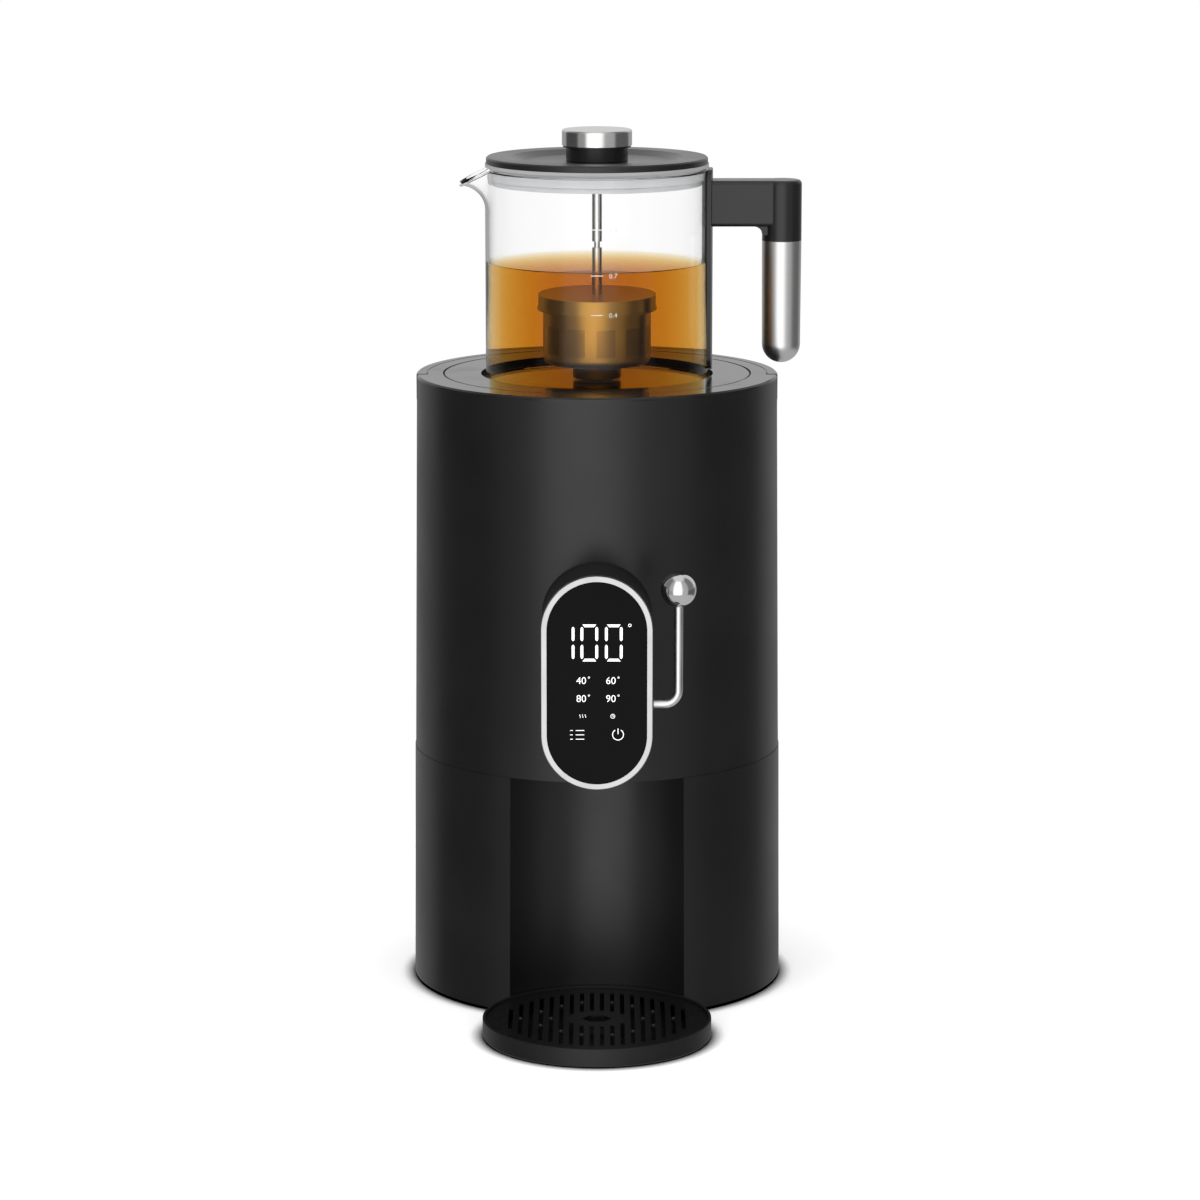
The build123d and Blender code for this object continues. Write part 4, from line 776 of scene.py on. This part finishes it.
def plain_metal(name, colour, roughness, cloud=20.0):
    """Cast, pressed or drawn metal: a cloud in colour and sheen."""
    finish = Finish(name, colour, roughness, metallic=1.0)
    out = finish.group("grain", Grain=1500.0, Cloud=cloud)
    finish.tint(out["Cloud"], scaled(colour, 0.9), scaled(colour, 1.05))
    finish.gloss(out["Cloud"], roughness * 0.8, roughness * 1.2)
    finish.bump(out["Height"], 0.004 * MM, 0.5)
    return finish.material


def lit_marks():
    """Lit display marks: their own light, a little uneven, as segments are."""
    finish = Finish("lit_marks", (0.9, 0.9, 0.9), 0.5)
    cloud = finish.group("grain", Grain=900.0, Cloud=300.0)["Cloud"]
    finish.tint(cloud, (0.82, 0.83, 0.85), (0.95, 0.95, 0.95))
    finish.set("Emission Color", (1.0, 1.0, 1.0, 1.0))
    finish.set("Emission Strength", 0.75)
    return finish.material


def let_lamps_through(finish):
    """Lets lamps shine through: shadow rays, and rays that outer gloss sends back, meet a clear shader."""
    path = finish.tree.nodes.new("ShaderNodeLightPath")
    outside = math_node(finish.tree, "LESS_THAN", path.outputs["Transmission Depth"], 0.5)
    sent_back = math_node(finish.tree, "MULTIPLY", path.outputs["Is Glossy Ray"], outside)
    passing = math_node(finish.tree, "MAXIMUM", path.outputs["Is Shadow Ray"], sent_back)
    clear = finish.tree.nodes.new("ShaderNodeBsdfTransparent")
    surface = mix_shaders(finish.tree, passing, finish.shader.outputs[0], clear.outputs[0])
    finish.tree.links.new(surface, finish.output.inputs["Surface"])


def pot_glass_finish():
    """Clear glass with painted shade that greys its colour where it is seen edge on, and the faintest smears.
    """
    finish = Finish("pot_glass_clear", (1, 1, 1), 0.0, ior=1.22)
    finish.set("Transmission Weight", 1.0)
    # Painted shade: the colour turns grey where the glass is seen edge on, in place of the dark reflections
    # at its edges.
    facing = finish.tree.nodes.new("ShaderNodeLayerWeight")
    facing.inputs["Blend"].default_value = 0.35
    finish.tint(facing.outputs["Facing"], (1.0, 1.0, 1.0), (0.38, 0.39, 0.4), 0.55, 1.0)
    smear = finish.group("smears", Size=22.0, Amount=0.12)["Smear"]
    finish.gloss(smear, 0.0, 0.02, 0.0, SMEAR_HIGH)
    let_lamps_through(finish)
    return finish.material


def tea_finish():
    """Brewed tea: clear, and amber by the depth that is looked through."""
    finish = Finish("brewed_tea", (1, 1, 1), 0.0, ior=1.03)
    finish.set("Transmission Weight", 1.0)
    ripple = finish.group("grain", Grain=60.0, Cloud=40.0)
    finish.bump(ripple["Height"], 0.02 * MM, 0.2)
    absorb = finish.tree.nodes.new("ShaderNodeVolumeAbsorption")
    absorb.inputs["Color"].default_value = (0.867, 0.648, 0.0725, 1.0)
    absorb.inputs["Density"].default_value = 49.0
    finish.tree.links.new(absorb.outputs[0], finish.output.inputs["Volume"])
    let_lamps_through(finish)
    return finish.material


def clear_moulding(name, colour, roughness):
    """Half clear moulded plastic of the plug."""
    finish = Finish(name, colour, roughness, ior=1.49)
    finish.set("Transmission Weight", 0.35)
    out = finish.group("grain", Grain=700.0, Cloud=24.0)
    finish.tint(out["Cloud"], scaled(colour, 0.92), scaled(colour, 1.05))
    finish.bump(out["Height"], 0.01 * MM, 0.5)
    return finish.material


def fleece(name, colour):
    """Needled mat: tangled fibres as a strong fine relief."""
    finish = Finish(name, colour, 0.95, specular=0.1)
    finish.set("Sheen Weight", 0.3)
    out = finish.group("grain", Grain=900.0, Cloud=120.0)
    finish.tint(out["Height"], scaled(colour, 0.7), scaled(colour, 1.2))
    finish.bump(out["Height"], 0.4 * MM, 0.8)
    return finish.material


def circuit_board(name):
    """Lacquered board with lighter copper tracks under the lacquer."""
    finish = Finish(name, (0.02, 0.16, 0.07), 0.35)
    track = finish.tree.nodes.new("ShaderNodeTexBrick")
    track.inputs["Scale"].default_value = 160.0
    track.inputs["Mortar Size"].default_value = 0.03
    track.inputs["Color1"].default_value = (0.015, 0.13, 0.055, 1.0)
    track.inputs["Color2"].default_value = (0.02, 0.17, 0.075, 1.0)
    track.inputs["Mortar"].default_value = (0.05, 0.3, 0.13, 1.0)
    finish.tree.links.new(object_place(finish.tree), track.inputs["Vector"])
    finish.tree.links.new(track.outputs["Color"], finish.shader.inputs["Base Color"])
    return finish.material


def axis_of(node):
    """Middle of a node's box in plan, where its own upright axis stands."""
    low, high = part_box(node)
    return ((low.x + high.x) / 2, (low.y + high.y) / 2)


def paint(material, *names):
    """Gives a material to named CAD nodes."""
    for name in names:
        nodes[name].data.materials.clear()
        nodes[name].data.materials.append(material)


COARSE_LINES = 900.0
SOFT_LINES = {"depth": 0.0002 * MM, "contrast": 0.03, "uneven": 0.05}


def finish_all():
    """Every CAD node gets the finish of the real piece."""
    paint(moulded("satin_black", (0.0065, 0.0066, 0.0068), 0.34, 0.46),
          "upper_shell", "lower_housing", "base_plate")
    paint(moulded("head_black", (0.008, 0.008, 0.0085), 0.48, 0.25), "head_housing", "spout_nozzle")
    paint(moulded("tray_black", (0.009, 0.009, 0.0095), 0.45, 0.35), "tray_pan")
    paint(moulded("grille_black", (0.0045, 0.0045, 0.005), 0.3, 0.45), "drip_grille")
    paint(polished("rim_gloss", (0.012, 0.012, 0.0125), 0.1, 0.34), "top_ring", "bail", "lid_deck")
    paint(polished("panel_gloss", (0.0045, 0.0045, 0.0048), 0.04, 0.04), "display_panel", "digit_display")
    paint(moulded("handle_black", (0.012, 0.012, 0.0125), 0.26, 0.42), "handle_arm", "handle_strap")
    paint(moulded("cover_black", (0.012, 0.012, 0.0125), 0.3, 0.45), "lid_cover", "knob_neck", "rod_guide")
    paint(plain_metal("frame_silver", (0.56, 0.56, 0.565), 0.36, 60.0), "head_frame")
    paint(plain_metal("ball_chrome", (0.8, 0.8, 0.81), 0.05, 40.0), "lever_ball")
    paint(plain_metal("rod_satin", (0.84, 0.84, 0.85), 0.36, 60.0), "lever_rod")
    paint(turned_metal("knob_steel", (0.74, 0.735, 0.73), 0.16, axis_of("knob_cap")), "knob_cap")
    paint(turned_metal("grip_steel", (0.74, 0.735, 0.73), 0.33, axis_of("grip_sleeve"), COARSE_LINES,
                       **SOFT_LINES), "grip_sleeve")
    paint(turned_metal("infuser_steel", (0.6, 0.59, 0.575), 0.3, **SOFT_LINES), "basket_cap")
    paint(turned_metal("rod_steel", (0.7, 0.69, 0.67), 0.2, **SOFT_LINES), "infuser_rod")
    paint(turned_metal("seat_steel", (0.72, 0.71, 0.69), 0.16, depth=0.001 * MM), "seat_plate")
    paint(plain_metal("foot_steel", (0.16, 0.155, 0.15), 0.35), "basket_foot")
    paint(clear_moulding("plug_frosted", (0.88, 0.89, 0.9), 0.25), "lid_plug")
    paint(moulded("seal_grey", (0.4, 0.4, 0.41), 0.5, 0.4, 1200.0), "lid_seal")
    paint(moulded("foot_black", (0.01, 0.01, 0.01), 0.6, 0.2, 1200.0), "foot_ring")
    paint(moulded("inner_plastic", (0.05, 0.05, 0.052), 0.55),
          "deck_plate", "thermostat", "valve_body", "valve_cap", "lever_bush", "lever_cam", "power_inlet",
          "board_parts", "board_standoffs")
    paint(moulded("wire_black", (0.02, 0.02, 0.021), 0.5, 0.4, 1400.0), "wiring")
    paint(moulded("silicone_pale", (0.7, 0.7, 0.68), 0.55, 0.4, 1500.0),
          "lid_gasket", "outlet_hose", "plunger_cup")
    paint(turned_metal("tank_steel", (0.6, 0.6, 0.6), 0.3, lines=COARSE_LINES),
          "water_tank", "plunger_stem", "temperature_probe", "outlet_pipe", "hose_clamps")
    paint(plain_metal("screw_steel", (0.55, 0.55, 0.56), 0.3), "case_screws", "bail_pins", "heating_element")
    paint(plain_metal("cast_aluminium", (0.55, 0.55, 0.56), 0.5, 50.0), "heater_disc")
    paint(plain_metal("blade_brass", (0.75, 0.6, 0.3), 0.3), "inlet_blades")
    paint(moulded("fuse_ceramic", (0.8, 0.79, 0.75), 0.6, 0.4, 1000.0), "thermal_fuse")
    paint(fleece("insulation_fleece", (0.5, 0.5, 0.5)), "insulation_sleeve")
    paint(circuit_board("board_green"), "main_board", "display_board")


# Camera
CAMERA_PLACE = (1.74 * MM, -2548.3 * MM, 718.9 * MM)
CAMERA_PITCH = 10.976
CAMERA_LENS = 132.14
CAMERA_SENSOR = 36.0
CAMERA_FAR = 50.0


def camera():
    """Camera in front of the object that looks down by its pitch in degrees."""
    data = bpy.data.cameras.new("camera")
    data.lens = CAMERA_LENS
    data.sensor_width = CAMERA_SENSOR
    data.clip_end = CAMERA_FAR
    holder = bpy.data.objects.new("camera", data)
    holder.location = CAMERA_PLACE
    holder.rotation_euler = (np.radians(90 - CAMERA_PITCH), 0, 0)
    bpy.context.scene.collection.objects.link(holder)
    bpy.context.scene.camera = holder


# What gloss sees round the studio, by the direction's turn from the front: (degrees, brightness)
STUDIO_LOW = ((-180, 0.42), (-126, 0.38), (-118, 0.07), (-70, 0.07), (-62, 0.36), (-40, 0.36), (-33, 1.35),
              (-24, 1.75), (0, 1.95), (16, 1.35), (27, 0.5), (58, 0.46), (66, 0.12), (122, 0.12), (130, 0.4),
              (180, 0.42))
STUDIO_HIGH = ((-180, 0.72), (-125, 0.65), (-110, 0.2), (-70, 0.2), (-60, 0.4), (-40, 0.5), (-30, 1.3),
               (16, 1.3), (30, 0.5), (58, 0.45), (70, 0.2), (110, 0.2), (125, 0.65), (180, 0.72))

# Steepness, as the direction's z, over which one part of the studio goes over into the next
LOW_TO_HIGH = (-0.08, 0.1)
WALL_TO_FLOOR = (-0.32, -0.5)
WALL_TO_CEILING = (0.82, 0.96)
FLOOR_IN_GLOSS = 0.5
CEILING_IN_GLOSS = 0.74
AMBIENT = 0.55


def grey(value):
    """Opaque grey of one brightness."""
    return (value, value, value, 1.0)


def studio_ramp(tree, turn, stops):
    """Brightness round the studio as a colour ramp over the turn."""
    ramp = tree.nodes.new("ShaderNodeValToRGB")
    band = ramp.color_ramp
    while len(band.elements) < len(stops):
        band.elements.new(0.5)
    for element, (angle, value) in zip(band.elements, stops):
        element.position = (angle + 180) / 360
        element.color = grey(value)
    tree.links.new(turn, ramp.inputs[0])
    return ramp.outputs[0]


def seen_by_camera(tree, path):
    """One for rays that come from the camera, straight or through glass, and nought for others."""
    return math_node(tree, "MAXIMUM", path.outputs["Is Camera Ray"], path.outputs["Is Transmission Ray"])


def studio():
    """World: white behind everything, even light on dull surfaces, softboxes and dark flats in the gloss."""
    world = bpy.data.worlds.new("studio")
    bpy.context.scene.world = world
    world.use_nodes = True
    tree = world.node_tree
    background = tree.nodes["Background"]
    split = tree.nodes.new("ShaderNodeSeparateXYZ")
    tree.links.new(tree.nodes.new("ShaderNodeTexCoord").outputs["Generated"], split.inputs[0])
    x, y, z = split.outputs
    turn = math_node(tree, "ARCTAN2", x, math_node(tree, "MULTIPLY", y, -1.0))
    turn = math_node(tree, "ADD", math_node(tree, "DIVIDE", turn, 2 * np.pi), 0.5)
    low = studio_ramp(tree, turn, STUDIO_LOW)
    high = studio_ramp(tree, turn, STUDIO_HIGH)
    gloss = blend_colours(tree, map_range(tree, z, *LOW_TO_HIGH, smooth=True), low, high)
    below = map_range(tree, z, *WALL_TO_FLOOR, smooth=True)
    gloss = blend_colours(tree, below, gloss, grey(FLOOR_IN_GLOSS))
    above = map_range(tree, z, *WALL_TO_CEILING, smooth=True)
    gloss = blend_colours(tree, above, gloss, grey(CEILING_IN_GLOSS))
    path = tree.nodes.new("ShaderNodeLightPath")
    reflected = math_node(tree, "GREATER_THAN", path.outputs["Glossy Depth"], 0.5)
    plain = blend_colours(tree, seen_by_camera(tree, path), grey(AMBIENT), grey(1.0))
    tree.links.new(blend_colours(tree, reflected, plain, gloss), background.inputs["Color"])
    background.inputs["Strength"].default_value = 1.0


# Softboxes: name, place, aim, side in metres, watts
LAMPS = (("overhead_softbox", (0.0, -0.2, 2.4), (0.0, 0.0, 0.2), 1.8, 34.0),
         ("left_softbox", (-1.6, -1.6, 1.5), (0.0, 0.0, 0.25), 1.2, 16.0),
         ("right_softbox", (1.8, -1.2, 1.3), (0.0, 0.0, 0.25), 1.2, 9.0))


def lamp(name, place, aim, size, watts):
    """Softbox that lights dull surfaces; gloss sees the studio's own softboxes instead."""
    data = bpy.data.lights.new(name, "AREA")
    data.shape = "SQUARE"
    data.size = size
    data.energy = watts
    holder = bpy.data.objects.new(name, data)
    holder.location = place
    holder.rotation_mode = "QUATERNION"
    holder.rotation_quaternion = (Vector(aim) - Vector(place)).to_track_quat("-Z", "Y")
    holder.visible_glossy = False
    holder.visible_transmission = False
    bpy.context.scene.collection.objects.link(holder)


# Floor: it fades over distances in metres from the origin, and has painted shade where less of the sky is
# open
FLOOR_HALF = 9.0
FLOOR_DROP = 0.05 * MM
FLOOR_GREY = 0.82
FLOOR_LIFT = 0.3
FLOOR_FADE = (0.22, 0.6)
CONTACT_REACH = 12.0 * MM
CONTACT_OPEN = (0.5, 0.9)


def floor_finish():
    """Pale floor that fades to white for the camera, keeps the soft shadow of the lamps, and has painted
    shade as the dark line under the parts that stand on it.

    What is reflected inside the glass looks past it, as all gloss does, so that steel there keeps its dark
    sides.
    """
    finish = Finish("floor_pale", (FLOOR_GREY, FLOOR_GREY, FLOOR_GREY), 0.9, specular=0.0)
    tree = finish.tree
    path = tree.nodes.new("ShaderNodeLightPath")
    shown = seen_by_camera(tree, path)
    length = tree.nodes.new("ShaderNodeVectorMath")
    length.operation = "LENGTH"
    tree.links.new(object_place(tree), length.inputs[0])
    far = map_range(tree, length.outputs["Value"], *FLOOR_FADE, smooth=True)
    # Painted shade: an occlusion node darkens the floor's colour and its glow where parts stand close above
    # it.
    near = tree.nodes.new("ShaderNodeAmbientOcclusion")
    near.inputs["Distance"].default_value = CONTACT_REACH
    painted_contact_shade = map_range(tree, near.outputs["AO"], *CONTACT_OPEN)
    tree.links.new(math_node(tree, "MULTIPLY", painted_contact_shade, FLOOR_GREY), finish.shader.inputs["Base Color"])
    glow = tree.nodes.new("ShaderNodeEmission")
    lift = math_node(tree, "MULTIPLY", painted_contact_shade, FLOOR_LIFT)
    tree.links.new(math_node(tree, "MULTIPLY", shown, lift), glow.inputs["Strength"])
    both = tree.nodes.new("ShaderNodeAddShader")
    tree.links.new(finish.shader.outputs[0], both.inputs[0])
    tree.links.new(glow.outputs[0], both.inputs[1])
    white = tree.nodes.new("ShaderNodeEmission")
    fade = mix_shaders(tree, math_node(tree, "MULTIPLY", shown, far), both.outputs[0], white.outputs[0])
    reflected = math_node(tree, "GREATER_THAN", path.outputs["Glossy Depth"], 0.5)
    inside = math_node(tree, "MULTIPLY", reflected, path.outputs["Is Transmission Ray"])
    clear = tree.nodes.new("ShaderNodeBsdfTransparent")
    past = mix_shaders(tree, inside, fade, clear.outputs[0])
    tree.links.new(past, finish.output.inputs["Surface"])
    return finish.material


def floor():
    """One wide square just under the foot, which gloss doesn't see."""
    half, level = FLOOR_HALF, cad_low.z - FLOOR_DROP
    corners = [(-half, -half, level), (half, -half, level), (half, half, level), (-half, half, level)]
    mesh = bpy.data.meshes.new("studio_floor")
    mesh.from_pydata(corners, [], [(0, 1, 2, 3)])
    piece = bpy.data.objects.new("studio_floor", mesh)
    bpy.context.scene.collection.objects.link(piece)
    piece.visible_glossy = False
    mesh.materials.append(floor_finish())


# Everything in place
teapot_glass().data.materials.append(pot_glass_finish())
tea().data.materials.append(tea_finish())
pierced_steel = turned_metal("pierced_steel", (0.61, 0.6, 0.585), 0.3, lines=COARSE_LINES,
                             depth=0.0002 * MM, contrast=0.02, uneven=0.03)
infuser_mesh().data.materials.append(pierced_steel)
return_spring().data.materials.append(plain_metal("spring_wire", (0.55, 0.55, 0.56), 0.3))
litre_scale().data.materials.append(moulded("scale_print", (0.86, 0.86, 0.86), 0.5))
panel_marks().data.materials.append(lit_marks())
finish_all()
camera()
studio()
floor()
for name, place, aim, size, watts in LAMPS:
    lamp(name, place, aim, size, watts)
bpy.context.scene.view_settings.view_transform = "Standard"
